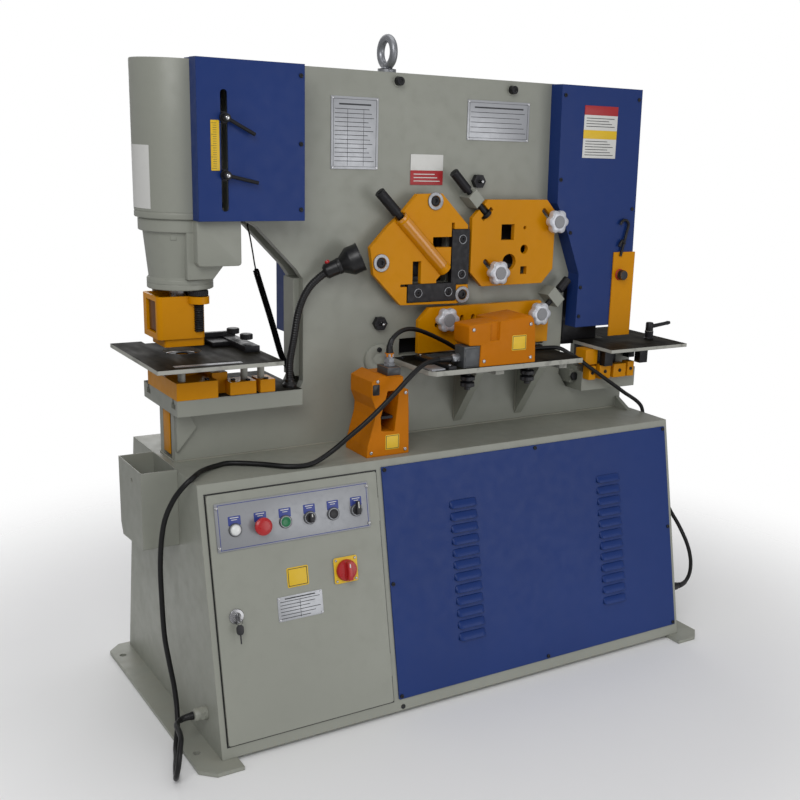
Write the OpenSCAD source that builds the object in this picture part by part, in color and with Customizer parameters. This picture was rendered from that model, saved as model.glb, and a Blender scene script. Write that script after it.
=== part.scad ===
// Floor-standing hydraulic ironworker: a twin-plate steel frame on a closed base cabinet,
// with a punching station at the left, angle, section and flat-bar shears in the middle
// and a notching station at the right. Millimetres, +Z up, +X along the front to the
// notching end, -Y towards the operator. Origin on the floor, centred between the four
// foundation bolt holes.

/* [Part shown] */
// Sub-part to draw, or all of them

/* [Base cabinet] */
// Length of the cabinet
cab_l = 1500; // [1400:10:1600]
// Height of the cabinet top above the floor
cab_h = 672; // [620:1:720]
// Front edge of the cabinet top
cab_front_top = -235; // [-260:1:-220]
// Front edge of the cabinet foot, further out than the top
cab_front_foot = -370; // [-390:1:-350]
// Rear edge of the cabinet top
cab_back_top = 250; // [230:1:280]
// Rear edge of the cabinet foot
cab_back_foot = 370; // [350:1:390]
// Sheet thickness of the cabinet
sheet = 4; // [3:1:6]
// Door: left edge, right edge, lower and upper edge up the sloping front
door_x0 = -732; // [-735:1:-720]
door_x1 = -274; // [-300:1:-250]
door_s0 = 42; // [30:1:60]
door_s1 = 658; // [640:1:665]
// Vent panel: left and right edge
vent_x0 = -256; // [-262:1:-240]
vent_x1 = 738; // [700:1:742]
// Louvres in each column
louvre_n = 12; // [4:1:16]
// Distance between louvres
louvre_pitch = 33.4; // [28:0.1:40]
// Length of one louvre
louvre_w = 82; // [60:1:100]

/* [Foundation] */
// Distance of the foundation holes along X
bolt_dx = 1580; // [1560:5:1600]
// Distance of the foundation holes along Y
bolt_dy = 604; // [560:2:660]
// Foundation hole diameter
bolt_d = 18; // [14:1:24]
// Thickness of the foot bars
foot_t = 10; // [8:1:14]

/* [Frame] */
// Front face of the front plate
fr_y0 = -30; // [-40:1:-20]
// Thickness of each frame plate
fr_t = 25; // [20:1:30]
// Gap between the two frame plates
fr_gap = 60; // [50:1:70]
// Top of the frame
fr_top = 1646; // [1600:1:1700]
// Thickness of the shear beam in the gap
beam_t = 48; // [40:1:56]
// Main pivot of the shear beam
piv_x = -154; // [-160:1:-140]
piv_z = 893; // [880:1:900]
// Diameter of the pivot pin
piv_d = 60; // [50:1:64]

/* [Punch] */
// Axis of the punch
pu_x = -685; // [-695:1:-675]
// Radius of the punch cylinder shell
pu_shell_r = 104; // [96:1:110]
// Diameter of the punch ram
ram_d = 56; // [50:1:64]
// Top face of the punch table
pt_z = 945; // [930:1:960]
// Top face of the punch bed
pb_z = 846; // [830:1:860]

/* [Shear stations] */
// Front face of the tool plates
tool_y = -72; // [-80:1:-64]
// Thickness of the tool plates
tool_t = 15; // [12:1:18]
// Top face of the shear table
st_z = 898; // [880:1:905]
// Star knob radius
knob_r = 29; // [24:1:34]
// Side of the large square bar opening
sq_bar = 44; // [30:1:50]
// Diameter of the large round bar opening
rd_bar = 46; // [30:1:50]

/* [Notcher] */
// Top face of the notch table
nt_z = 900; // [880:1:910]
// Front face of the right guard
gd_y = -80; // [-90:1:-70]

/* [Cords] */
// Diameter of the cable of the pedal lying on the shear table
cord_a_d = 13; // [8:1:14]
// Diameter of the cable of the standing pedal
cord_b_d = 12; // [8:1:14]
// Outer diameter of the coiled lamp lead
coil_d = 13; // [10:1:16]

/* [Hidden] */
$fn = 48;
eps = 0.01;
fr_y1 = fr_y0 + fr_t;
fr_y2 = fr_y1 + fr_gap;
fr_y3 = fr_y2 + fr_t;
fr_mid = (fr_y0 + fr_y3) / 2;
beam_y = fr_mid - beam_t / 2;
slope_a = atan2(cab_front_top - cab_front_foot, cab_h);
slope_l = sqrt(pow(cab_front_top - cab_front_foot, 2) + pow(cab_h, 2));
tool_back = tool_y + tool_t;
btn_x = [-668, -602, -537, -471, -406, -340];
btn_s = 567;
// foot bars reach from under the cabinet to past the foundation holes
foot_x0 = min(cab_l / 2 - 38, bolt_dx / 2 - 78);
foot_x1 = max(cab_l / 2 + 65, bolt_dx / 2 + 25);
// cabinet height at which the heights of everything above it are drawn
drawn_h = 672;
// left edge of the frame, clear of the punch shell
arm_x = pu_x + pu_shell_r + 1;
// outer wall of the side tray
tray_x = -cab_l / 2 - 92;
d45 = [1 / sqrt(2), -1 / sqrt(2)];

// Extrude an X-Z drawing along Y from y0 over t
module slab(y0, t) translate([0, y0 + t, 0]) rotate([90, 0, 0]) linear_extrude(t) children();
// Extrude a Y-Z drawing along X from x0 over t
module side(x0, t) translate([x0, 0, 0]) rotate([90, 0, 90]) linear_extrude(t) children();
// Everything above the cabinet rides up and down with the cabinet top
module up() translate([0, 0, cab_h - drawn_h]) children();
// Round bar along Y at x, z from y0 to y1
module bar_y(x, z, y0, y1, r) translate([x, y1, z]) rotate([90, 0, 0]) cylinder(h = y1 - y0, r = r);
// Round bar along X at y, z
module bar_x(x0, x1, y, z, r) translate([x0, y, z]) rotate([0, 90, 0]) cylinder(h = x1 - x0, r = r);
// Box from one corner to the other
module box(a, b) translate(a) cube(b - a);
// Rectangle with rounded corners from corner a to corner b
module rrect(a, b, r) {
  translate([a[0] + r, a[1]]) square([b[0] - a[0] - 2 * r, b[1] - a[1]]);
  translate([a[0], a[1] + r]) square([b[0] - a[0], b[1] - a[1] - 2 * r]);
  for (x = [a[0] + r, b[0] - r], y = [a[1] + r, b[1] - r]) translate([x, y]) circle(r);
}
// Frame of the sloping front: x, inward depth, distance up the slope
module front() translate([0, cab_front_foot, 0]) rotate([-slope_a, 0, 0]) children();
// Round bar standing out of the sloping front
module stud(x, s, y0, y1, r) front() bar_y(x, s, y0, y1, r);
// Bar in the X-Z plane from point a to point b at depth y
module bar_xz(a, b, y, r) {
  d = b - a;
  translate([a[0], y, a[1]]) rotate([0, atan2(d[0], d[1]), 0]) cylinder(h = norm(d), r = r);
}
// Hexagon head, across corners 2r, facing the operator
module hex_y(x, z, y0, y1, r) translate([x, y1, z]) rotate([90, 0, 0]) cylinder(h = y1 - y0, r = r, $fn = 6);
// Star knob facing the operator with its stud
module star_knob(x, z, y0, y1, r) {
  slab(y0, 24) translate([x, z]) difference() {
    circle(r);
    for (i = [0:5]) rotate(i * 60 + 30) translate([r * 1.16, 0]) circle(r * 0.34);
    circle(7.05);
  }
  slab(y0 + 24 - eps, 13.4) translate([x, z]) difference() {
    circle(r * 0.62);
    circle(7.05);
  }
  bar_y(x, z, y0 - 3, y0 + 0.5, r * 0.62);
}

module foot_bars() color([0.42, 0.42, 0.37])
  for (s = [-1, 1]) linear_extrude(foot_t) difference() {
    polygon([[s * foot_x0, -415], [s * (foot_x1 - 35), -415], [s * foot_x1, -380],
      [s * foot_x1, 345], [s * (foot_x1 - 35), 380], [s * foot_x0, 380]]);
    for (y = [-1, 1]) translate([s * bolt_dx / 2, y * bolt_dy / 2]) circle(d = bolt_d);
  }

function face_y(z) = cab_front_foot + z * tan(slope_a);
function rear_y(z) = cab_back_foot - z * (cab_back_foot - cab_back_top) / cab_h;
module cab_outline(g) polygon([
  [face_y(foot_t + g) + g / cos(slope_a), foot_t + g],
  [face_y(cab_h - g) + g / cos(slope_a), cab_h - g],
  [rear_y(cab_h - g) - g / cos(slope_a), cab_h - g],
  [rear_y(foot_t + g) - g / cos(slope_a), foot_t + g]]);

module cabinet() color([0.53, 0.53, 0.48]) {
  difference() {
    side(-cab_l / 2, cab_l) cab_outline(0);
    side(-cab_l / 2 + sheet, cab_l - 2 * sheet) cab_outline(sheet);
    front() box([door_x0 + 22, -20, door_s0 + 22], [door_x1 - 22, 30, door_s1 - 22]);
    front() box([vent_x0 + 30, -20, 72], [vent_x1 - 30, 30, 628]);
  }
}

module power_pack() color([0.30, 0.32, 0.34]) {
  // oil tank, motor and pump
  box([80, -180, foot_t + sheet + eps], [640, 200, 330]);
  bar_x(180, 430, 20, 430, 96);
  bar_x(430 - eps, 520, 20, 430, 60);
  box([200, -40, 325], [420, 80, 350]);
  box([440, -20, 325], [500, 60, 380]);
  // switchgear on its back plate
  box([-690, 60, 80], [-330, 66, 600]);
  box([-690, 60, foot_t + sheet + eps], [-660, 66, 85]);
  box([-360, 60, foot_t + sheet + eps], [-330, 66, 85]);
  for (i = [0:4]) box([-670 + i * 62, -10, 440], [-620 + i * 62, 60 + eps, 530]);
  for (i = [0:1]) box([-670 + i * 160, -40, 250], [-540 + i * 160, 60 + eps, 380]);
  box([-670, 20, 130], [-350, 60 + eps, 190]);
}

module cabinet_door() color([0.55, 0.55, 0.50]) front() difference() {
  union() {
    slab(-6 - eps, 6) rrect([door_x0, door_s0], [door_x1, door_s1], 6);
    // folded lip round the opening, standing inside it
    difference() {
      box([door_x0 + 26, -eps * 2, door_s0 + 26], [door_x1 - 26, 16, door_s1 - 26]);
      box([door_x0 + 30, -1, door_s0 + 30], [door_x1 - 30, 18, door_s1 - 30]);
    }
    // hinge barrels on the right edge
    for (s = [door_s0 + 70, door_s1 - 130]) translate([door_x1, -3, s]) cylinder(h = 60, r = 2.9);
  }
  for (x = btn_x) bar_y(x, btn_s, -20, 20, 11.1);
  bar_y(-384, 418, -20, 20, 8.1);
  bar_y(-684, 357, -20, 20, 9.05);
}

module control_plate() color([0.45, 0.46, 0.44]) {
  front() difference() {
    slab(-8 - eps, 2) rrect([-716, 517], [-302, 636], 4);
    for (x = btn_x) bar_y(x, btn_s, -20, 20, 11.1);
  }
  // bezels of the push buttons and selectors
  for (x = btn_x) front() difference() {
    bar_y(x, btn_s, -13, -8 + eps, 14.6);
    bar_y(x, btn_s, -20, 0, 11.1);
  }
  // isolator base plate
  front() difference() {
    slab(-9, 3 - eps) rrect([-417, 386], [-351, 452], 3);
    bar_y(-384, 418, -20, 20, 8.1);
  }
}

module signal_lamp() color([0.90, 0.92, 0.90]) {
  stud(btn_x[0], btn_s, -17, -13 - eps * 2, 13);
  stud(btn_x[0], btn_s, -14, 24, 11);
}
module stop_button() color([0.72, 0.05, 0.07]) {
  stud(btn_x[1], btn_s, -40, -27, 20);
  stud(btn_x[1], btn_s, -27 - eps, 24, 11.04);
}
module start_button() color([0.05, 0.45, 0.22]) {
  stud(btn_x[2], btn_s, -17, 24, 11.04);
}
module jog_button() color([0.07, 0.07, 0.08]) {
  stud(btn_x[4], btn_s, -17, 24, 11.04);
}
module selector(i, l) {
  stud(btn_x[i], btn_s, -17, 24, 11.04);
  front() translate([btn_x[i], 0, btn_s]) box([-4, -27, -9], [4, -17 + eps, l]);
}
module selector_left() color([0.07, 0.07, 0.08]) selector(3, 11);
module selector_right() color([0.07, 0.07, 0.08]) selector(5, 24);
module isolator_knob() color([0.72, 0.06, 0.06]) {
  stud(-384, 418, -18, -9 - eps, 22);
  front() box([-389, -36, 399], [-379, -18 + eps, 437]);
  stud(-384, 418, -12, 20, 8.04);
}
module door_lock() color([0.75, 0.75, 0.76]) {
  stud(-684, 357, -10, -6 - eps * 2, 14);
  stud(-684, 357, -9, 22, 9);
  // key in the lock with a second key hanging below
  front() box([-685, -26, 352], [-683, -10 + eps, 362]);
  front() difference() {
    box([-685, -44, 346], [-683, -26 + eps, 368]);
  }
  front() box([-698, 22 - eps, 353], [-664, 26, 361]);
}

module louvre_panel() color([0.20, 0.30, 0.45]) front() {
  difference() {
    slab(-4 - eps, 4) rrect([vent_x0, 42], [vent_x1, 666], 3);
    for (c = [-14, 500], i = [0:louvre_n - 1])
      box([c - louvre_w / 2, -20, 166 + i * louvre_pitch - 3],
        [c + louvre_w / 2, 5, 166 + i * louvre_pitch + 5]);
  }
  // hoods over the vent slots
  for (c = [-14, 500], i = [0:louvre_n - 1])
    translate([c - louvre_w / 2, 0, 166 + i * louvre_pitch]) rotate([90, 0, 90])
      linear_extrude(louvre_w) polygon([[-4, 12], [-4 - eps, 5], [-10, -6], [-12, -5]]);
}

module side_tray() color([0.55, 0.55, 0.50])
  difference() {
    side(tray_x, 92) polygon([[-104, cab_h + 4], [-104, cab_h - 192], [60, cab_h - 202],
      [75, cab_h - 172], [75, cab_h + 4]]);
    side(tray_x + 3, 86) polygon([[-101, cab_h + 8], [-101, cab_h - 189], [58, cab_h - 199],
      [72, cab_h - 171], [72, cab_h + 8]]);
    bar_x(tray_x - 8, tray_x + 12, -30, cab_h - 32, 6);
  }

module cable_stubs() color([0.08, 0.08, 0.09]) {
  // left gland low on the end wall, mouth towards the floor
  bar_x(-cab_l / 2 - 34, -cab_l / 2 - eps, -265, 92, 17);
  // right gland
  bar_x(cab_l / 2 + eps, cab_l / 2 + 26, -328, 150, 12);
}

module frame_outline() difference() {
  polygon([[-730, drawn_h], [735, drawn_h], [735, 755], [512, 755], [480, 800], [480, 1080],
    [560, 1180], [640, 1180], [640, fr_top], [arm_x, fr_top], [arm_x, 1278], [-545, 1278],
    [-502, 1253], [-396, 1145], [-379, 1120], [-379, 850], [-400, 805], [-730, 805]]);
  // flat bar slot
  translate([-88, 899]) square([500, 46]);
  // angle opening
  polygon([[-125, 1099], [56, 1099], [56, 1275], [20, 1275], [-125, 1130]]);
  // section opening
  translate([255, 1190]) circle(104);
}

module machine_frame() color([0.53, 0.53, 0.48]) up() {
  slab(fr_y0, fr_t) frame_outline();
  slab(fr_y2, fr_t) frame_outline();
  // webs between the plates
  slab(fr_y1 - eps, fr_gap + 2 * eps) {
    translate([-700, drawn_h]) square([30, 130]);
    translate([-690, drawn_h]) square([1410, 40]);
    translate([-80, 760]) square([480, 137]);
    translate([arm_x, fr_top - 86]) square([640 - arm_x, 50]);
    translate([-180, fr_top - 86]) square([140, 86]);
    translate([arm_x, 1300]) square([30, fr_top - 1376]);
    translate([-395, 860]) square([30, 260]);
  }
  // pivot pin of the beam with its front disc
  bar_y(piv_x, piv_z, fr_y1 - eps, fr_y2 + eps, piv_d / 2);
  bar_y(piv_x, piv_z, fr_y0 - 6, fr_y0 + eps, 43);
  // screw blocks of the section and flat clamps
  clamp_block([119, 1329], 135, 34, 40);
  clamp_block([415, 1045], 45, 54, 34);
  // gussets of the left pedestal and below the shear table
  slab(fr_y0 - 12, 12 + eps) polygon([[-728, 804], [-700, 804], [-676, 760], [-728, 700]]);
  for (x = [100, 318]) side(x, 26) polygon([[fr_y0 + eps, st_z - 30.3], [-140, st_z - 30.3], [-140, 850],
    [fr_y0 + eps, 690]]);
  // gusset at the right foot of the frame
  side(716, 14) polygon([[fr_y0 + eps, drawn_h + eps], [fr_y0 + eps, 706], [-97, drawn_h + eps]]);
  // studs of the tool plates
  for (p = [[388, 1266], [190, 1126], [25, 1002], [343, 1002]]) {
    bar_y(p[0], p[1], tool_back + 0.3, fr_y0 + eps, 14);
    bar_y(p[0], p[1], tool_y - 36, fr_y0 + eps, 7);
  }
  for (p = [[-10, 1322], [-173, 1161], [86, 1066]]) bar_y(p[0], p[1], tool_back, fr_y0 + eps, 16);
  beam_cylinder();
}

module clamp_block(c, a, w, l) difference() {
  slab(tool_y - 8, fr_y0 - tool_y + 8 + eps) translate(c) rotate(a) square([l, w], center = true);
  bar_xz([c[0] - 60 * cos(a), c[1] - 60 * sin(a)], [c[0] + 60 * cos(a), c[1] + 60 * sin(a)],
    tool_y + 6, 8.05);
}

module rear_cover() color([0.13, 0.18, 0.40]) up()
  difference() {
    slab(fr_y3, 60) rrect([-378, 962], [600, 1520], 4);
    slab(fr_y3 - 2, 59) translate([-375, 965]) square([972, 552]);
    // long bars pass out here
    slab(fr_y3 - 2, 80) rrect([-135, 1050], [365, 1325], 4);
  }

module frame_bolts() color([0.10, 0.10, 0.11]) up() {
  for (p = [[-109, fr_top - 21], [254, fr_top - 24], [412, fr_top - 21]])
    bar_y(p[0], p[1], fr_y0 - 14, fr_y0 - eps, 11);
  for (p = [[150, fr_top - 272], [piv_x, piv_z + 100]]) {
    hex_y(p[0], p[1], fr_y0 - 16, fr_y0 - eps, 20);
    bar_y(p[0], p[1], fr_y0 - 28, fr_y0 - 16 + eps, 5);
  }
  // lifting eye on the frame top
  translate([-112, fr_mid, fr_top + eps]) cylinder(h = 10, r = 24);
  translate([-112, fr_mid, fr_top + 52]) rotate([0, 90, 0]) rotate_extrude() translate([35, 0]) circle(10);
  translate([-112, fr_mid, fr_top + 5]) cylinder(h = 16, r = 13);
  // lower clamp screw with its head
  bar_xz([434, 1064], [464, 1094], tool_y + 6, 13);
  bar_xz([435, 1065], [392.3, 1022.3], tool_y + 6, 8);
}

module name_plates() color([0.80, 0.80, 0.80]) up() {
  slab(fr_y0 - 1.5, 1.5 - eps) {
    translate([-302, fr_top - 246]) square([136, 180]);
    translate([110, fr_top - 162]) square([208, 106]);
    translate([-66, fr_top - 284]) square([102, 80]);
  }
}

module left_cover() color([0.13, 0.18, 0.40]) up() difference() {
  box([-686, -120, 1277], [-416, fr_y0 - eps, 1645]);
  box([-683, -117, 1270], [-419, fr_y0 + 2, 1642]);
  box([-690, pu_y() - pu_shell_r - 0.5, 1270], [-680, fr_y0 + 2, 1650]);
  slab(-125, 10) rrect([-629, 1300], [-612, 1577], 8);
}
function pu_y() = fr_mid;

// Stop carriage in the slot of the left cover, clamped by its lever
module stop_slide(z) {
  bar_y(-620.5, z, -121, -100, 8);
  box([-636, -116.5, z - 14], [-605, -111, z + 14]);
  bar_y(-620.5, z, -128, -120.5, 12);
}
module stop_lever(z, a) {
  bar_y(-620.5, z, -142, -128 - eps, 9);
  translate([-620.5, 0, z]) rotate([0, a, 0]) translate([0, -136, 0]) rotate([0, 90, 0])
    cylinder(h = 78, r = 4.5);
}
module stop_slide_upper() color([0.12, 0.12, 0.13]) up() stop_slide(1514);
module stop_lever_upper() color([0.10, 0.10, 0.11]) up() stop_lever(1514, 27);
module stop_slide_lower() color([0.12, 0.12, 0.13]) up() stop_slide(1384);
module stop_lever_lower() color([0.10, 0.10, 0.11]) up() stop_lever(1384, 12);

module punch_head() color([0.53, 0.53, 0.48]) up() translate([pu_x, pu_y(), 0]) difference() {
  union() {
    translate([0, 0, 1278]) cylinder(h = 363, r = pu_shell_r);
    translate([0, 0, 1246]) cylinder(h = 33, r = 96);
    translate([0, 0, 1132]) cylinder(h = 115, r1 = 75, r2 = 86);
    translate([0, 0, 1106]) cylinder(h = 27, r = 80);
    // tapered front web and the square guide housing
    translate([-pu_x, -pu_y(), 0]) {
      side(-700, 130) polygon([[-90, 1277], [20, 1277], [20, 1132], [-50, 1132]]);
      box([-683, -96, 1168], [-572, 10, 1277]);
      // arm root between the frame plates
      box([-640, fr_y1 + 1, 1310], [arm_x, fr_y2 - 1, 1560]);
      // guide plate behind the stripper
      box([-733, 87.3, 1005], [-640, 100, 1277]);
    }
    // index lug below the collar
    rotate(-118) translate([70, -7, 1228]) cube([16, 14, 20]);
  }
  translate([0, 0, 1090]) cylinder(h = 120, d = ram_d + 0.08);
}

module punch_ram() color([0.42, 0.43, 0.44]) up() translate([pu_x, pu_y(), 0]) {
  translate([0, 0, 1030]) cylinder(h = 170, d = ram_d);
  translate([0, 0, 1014]) cylinder(h = 20, d = 52);
  translate([0, 0, 988]) cylinder(h = 27, d = 20);
}

module stripper_box() color([0.72, 0.49, 0.04]) up() translate([pu_x, pu_y(), 0]) difference() {
  union() {
    translate([0, 0, 985]) linear_extrude(105) rrect([-78, -57], [42, 62], 12);
    translate([0, 0, 965]) linear_extrude(20 + eps) rrect([-60, -50], [42, 50], 8);
    // boss of the height screw
    translate([25, -57, 1072]) cylinder(h = 18, r = 26);
  }
  translate([0, 0, 985]) linear_extrude(140) rrect([-70, -49], [34, 54], 8);
  // punch way, open to the rear
  translate([-ram_d / 2 - 1, -ram_d / 2 - 1, 960]) cube([ram_d + 2, 120, 40]);
  // window in the left wall
  translate([-90, -40, 1000]) cube([30, 70, 78]);
  // slot for the screw
  translate([14, -70, 1006]) cube([22, 30, 67]);
  translate([25, -57, 1000]) cylinder(h = 100, d = 20.1);
}
module stripper_screw() color([0.10, 0.10, 0.11]) up() translate([pu_x + 25, pu_y() - 57, 0]) {
  translate([0, 0, 1004]) cylinder(h = 92, d = 20);
  translate([0, 0, 1091]) cylinder(h = 14, r = 24);
}

module punch_bed() color([0.53, 0.53, 0.48]) up() difference() {
  box([-745, -100, 805 + eps], [-412, 155, pb_z]);
  // T-slots along X in the left end and front
  for (y = [-72, 118]) {
    box([-760, y - 8, pb_z - 12], [-400, y + 8, pb_z + 5]);
    box([-760, y - 15, pb_z - 24], [-400, y + 15, pb_z - 11]);
  }
}

module die_holder() color([0.72, 0.49, 0.04]) up() difference() {
  union() {
    box([-745, -100, pb_z + eps], [-640, 120, 890]);
    box([-640 - eps, -60, pb_z + eps], [-600, 110, 900]);
    box([-607, -96, pb_z + eps], [-538, -40, 880]);
    box([-527, -96, pb_z + eps], [-487, -40, 880]);
    translate([pu_x, pu_y(), 880]) cylinder(h = 55, r = 45);
  }
  translate([pu_x, pu_y(), 870]) cylinder(h = 80, d = 30);
}

module punch_table() color([0.10, 0.10, 0.10]) up() {
  difference() {
    box([-820, -193, pt_z - 10], [-505, 181, pt_z]);
    translate([pu_x, pu_y(), 900]) cylinder(h = 60, r = 47);
    box([-740, 150, 900], [-560, 190, 960]);
  }
  // legs on the die blocks
  for (p = [[-560, -70, 880], [-515, -70, 880], [-725, -80, 890], [-725, 100, 890], [-620, 95, 900]])
    translate([p[0], p[1], p[2] + 2 * eps]) cylinder(h = pt_z - 10 - p[2], r = 9);
}

module punch_fence() color([0.09, 0.09, 0.10]) up() {
  box([-800, 104, pt_z + 0.3], [-512, 120, pt_z + 30]);
  box([-552, -60, pt_z + 0.3], [-512, 104 + eps, pt_z + 16]);
  for (p = [[-532, -20], [-532, 70]]) {
    translate([p[0], p[1], pt_z + 16 - eps]) cylinder(h = 12, r = 6);
    translate([p[0], p[1], pt_z + 27]) cylinder(h = 14, r = 16);
  }
}

module shear_beam() color([0.30, 0.30, 0.31]) up() {
  difference() {
    slab(beam_y, beam_t) difference() {
      union() {
        translate([piv_x, piv_z]) circle(66);
        polygon([[-219, 900], [-92, 950], [420, 950], [470, 962], [640, 962], [640, 1130],
          [620, 1380], [500, 1380], [440, 1420], [-60, 1420], [-190, 1240]]);
      }
      // bar openings
      polygon([[-75, 1112], [44, 1112], [44, 1226], [20, 1226], [-75, 1131]]);
      translate([212, 1214]) square(sq_bar);
      translate([243, 1152]) circle(d = rd_bar);
      translate([294, 1187]) circle(13);
      translate([293, 1248]) circle(5);
      translate([284, 1116]) square(22);
    }
    bar_y(piv_x, piv_z, fr_y0, fr_y3, piv_d / 2 + 0.05);
  }
  // notching punch hung from the end
  box([505, beam_y - 2, 884], [640, beam_y + beam_t + 2, 962 + eps]);
}

module beam_rod() color([0.70, 0.70, 0.72]) up() {
  translate([560, fr_mid, 1394]) cylinder(h = 120, r = 16);
  bar_y(560, 1394.5, fr_mid - 20, fr_mid + 20, 14);
}

module beam_cylinder() translate([560, fr_mid, 1440]) difference() {
  cylinder(h = 121, r = 27);
  translate([0, 0, -1]) cylinder(h = 118, r = 16.05);
}

module octagon() polygon([[-66, 1340], [12, 1342], [99, 1257], [99, 1247], [105, 1247],
  [105, 1090], [108, 1050], [66, 1042], [-111, 1045], [-195, 1130], [-206, 1201], [-153, 1257],
  [-117, 1286]]);

module angle_plate() color([0.74, 0.50, 0.04]) up() difference() {
  union() {
    slab(tool_y, tool_t) difference() {
      octagon();
      // pockets of the two fixed blades and the angle slits
      translate([46, 1094]) square([60, 153]);
      translate([-92, 1050]) square([158, 51]);
      translate([-112, 1094]) square([24, 7]);
      translate([46, 1240]) square([9, 24]);
      translate([-75, 1100]) square([26, 62]);
      translate([-13, 1198]) square([60, 28]);
      polygon([[1, 1100], [50, 1100], [50, 1155], [1, 1110]]);
    }
    bar_xz([-112, 1275], [26, 1137], tool_y - 2, 19);
    for (p = [[-10, 1322], [-173, 1161], [86, 1066]]) bar_y(p[0], p[1], tool_y - 2, tool_y + eps, 20);
  }
  bar_xz([-140, 1303], [60, 1103], tool_y - 2, 10.05);
  bar_xz([-170, 1333], [-115, 1278], tool_y - 2, 14.6);
  for (p = [[-10, 1322], [-173, 1161], [86, 1066]]) bar_y(p[0], p[1], tool_y - 4, tool_y + 8, 12);
}

module fixed_blades() color([0.06, 0.06, 0.07]) up() {
  slab(tool_y - 2, tool_t + 2) {
    difference() {
      translate([48, 1096]) square([56, 150]);
      for (z = [1123, 1219]) translate([82, z]) circle(8);
    }
    difference() {
      translate([-90, 1051.5]) square([154, 49]);
      for (x = [-57, 40]) translate([x, 1076]) circle(8);
    }
  }
  for (z = [1123, 1219]) bar_y(82, z, tool_y + 6, tool_back, 8 + eps);
  for (x = [-57, 40]) bar_y(x, 1076, tool_y + 6, tool_back, 8 + eps);
  // lower blade of the flat-bar shear
  box([-78, fr_y0 - 14, 870], [402, fr_y0 - eps, 896.5]);
}

module angle_handle() color([0.09, 0.09, 0.10]) up() {
  bar_xz([-182, 1345], [-129, 1292], tool_y - 2, 14);
  bar_xz([-129 - eps, 1292 + eps], [-60, 1223], tool_y - 2, 10);
}
module angle_pad() color([0.50, 0.50, 0.52]) up() bar_xz([-46, 1209], [24, 1139], tool_y - 2, 10);

module section_plate() color([0.74, 0.50, 0.04]) up() slab(tool_y, tool_t) difference() {
  polygon([[368, 1326], [400, 1292], [400, 1128], [362, 1088], [152, 1086],
    [112, 1126], [112, 1276], [162, 1326]]);
  // notch taking the clamp screw
  rotate(0) translate([150, 1298]) rotate(-45) square([46, 22], center = true);
  translate([161, 1287]) rotate(-45) square([12, 44], center = true);
  translate([212, 1214]) square(sq_bar);
  translate([243, 1152]) circle(d = rd_bar);
  translate([294, 1187]) circle(13);
  translate([293, 1248]) circle(5);
  translate([284, 1116]) square(22);
  for (p = [[388, 1266], [190, 1126]]) {
    for (k = [-24, 24]) translate([p[0] + k * d45[0] - 12, p[1] + k * d45[1] + 12]) circle(7.3);
    translate([p[0] - 12, p[1] + 12]) rotate(-45) square([48, 14.58], center = true);
  }
}
module section_knob_a() color([0.78, 0.78, 0.79]) up() star_knob(388, 1266, tool_y - 38, 0, knob_r);
module section_knob_b() color([0.78, 0.78, 0.79]) up() star_knob(190, 1126, tool_y - 38, 0, knob_r);
module section_screw() color([0.09, 0.09, 0.10]) up() {
  bar_xz([50, 1398], [96, 1352], tool_y + 6, 13);
  bar_xz([96 - eps, 1352 + eps], [160, 1288], tool_y + 6, 8);
  bar_xz([157.6, 1290.4], [164.4, 1283.6], tool_y + 6, 15);
}

module flat_plate() color([0.74, 0.50, 0.04]) up() slab(tool_y, tool_t) difference() {
  polygon([[-52, 1000], [-18, 1034], [362, 1037], [395, 1004], [395, 914], [-52, 908]]);
  for (p = [[25, 1002], [343, 1002]]) {
    for (k = [-24, 6]) translate([p[0] + k / sqrt(2), p[1] + k / sqrt(2)]) circle(7.3);
    translate([p[0] - 9 / sqrt(2), p[1] - 9 / sqrt(2)]) rotate(45) square([30, 14.58], center = true);
  }
  for (x = [90, 127, 222]) translate([x, 999]) rrect([-6, -9], [6, 9], 5.4);
}
module flat_knob_a() color([0.78, 0.78, 0.79]) up() star_knob(25, 1002, tool_y - 38, 0, knob_r);
module flat_knob_b() color([0.78, 0.78, 0.79]) up() star_knob(343, 1002, tool_y - 38, 0, knob_r);

module shear_table() color([0.16, 0.16, 0.16]) up() {
  box([-118, -258, st_z - 14], [384, -46, st_z]);
  // slide brackets below
  for (x = [113, 331]) {
    box([x - 14, -240, st_z - 30], [x + 14, -60, st_z - 14 + eps]);
    translate([x, -215, st_z - 62]) cylinder(h = 33, r = 7);
    translate([x, -215, st_z - 84]) cylinder(h = 24, r = 17);
  }
}

module right_guard() color([0.13, 0.18, 0.40]) up() difference() {
  slab(gd_y, fr_y0 - gd_y - eps) guard_outline();
  slab(gd_y + 3, fr_y0 - gd_y + 5) guard_hollow();
  // slot of the sliding strip
  slab(gd_y - 1, 8) rrect([644.8, 1086], [655.2, 1170], 4.6);
}
module guard_outline() polygon([[393, 1645], [692, 1645], [704, 950], [493, 950], [494, 1109],
  [446, 1225], [399, 1316]]);
module guard_hollow() polygon([[396, 1642], [689, 1642], [701, 940], [496, 940], [497, 1110],
  [449, 1226], [402, 1317]]);

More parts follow.
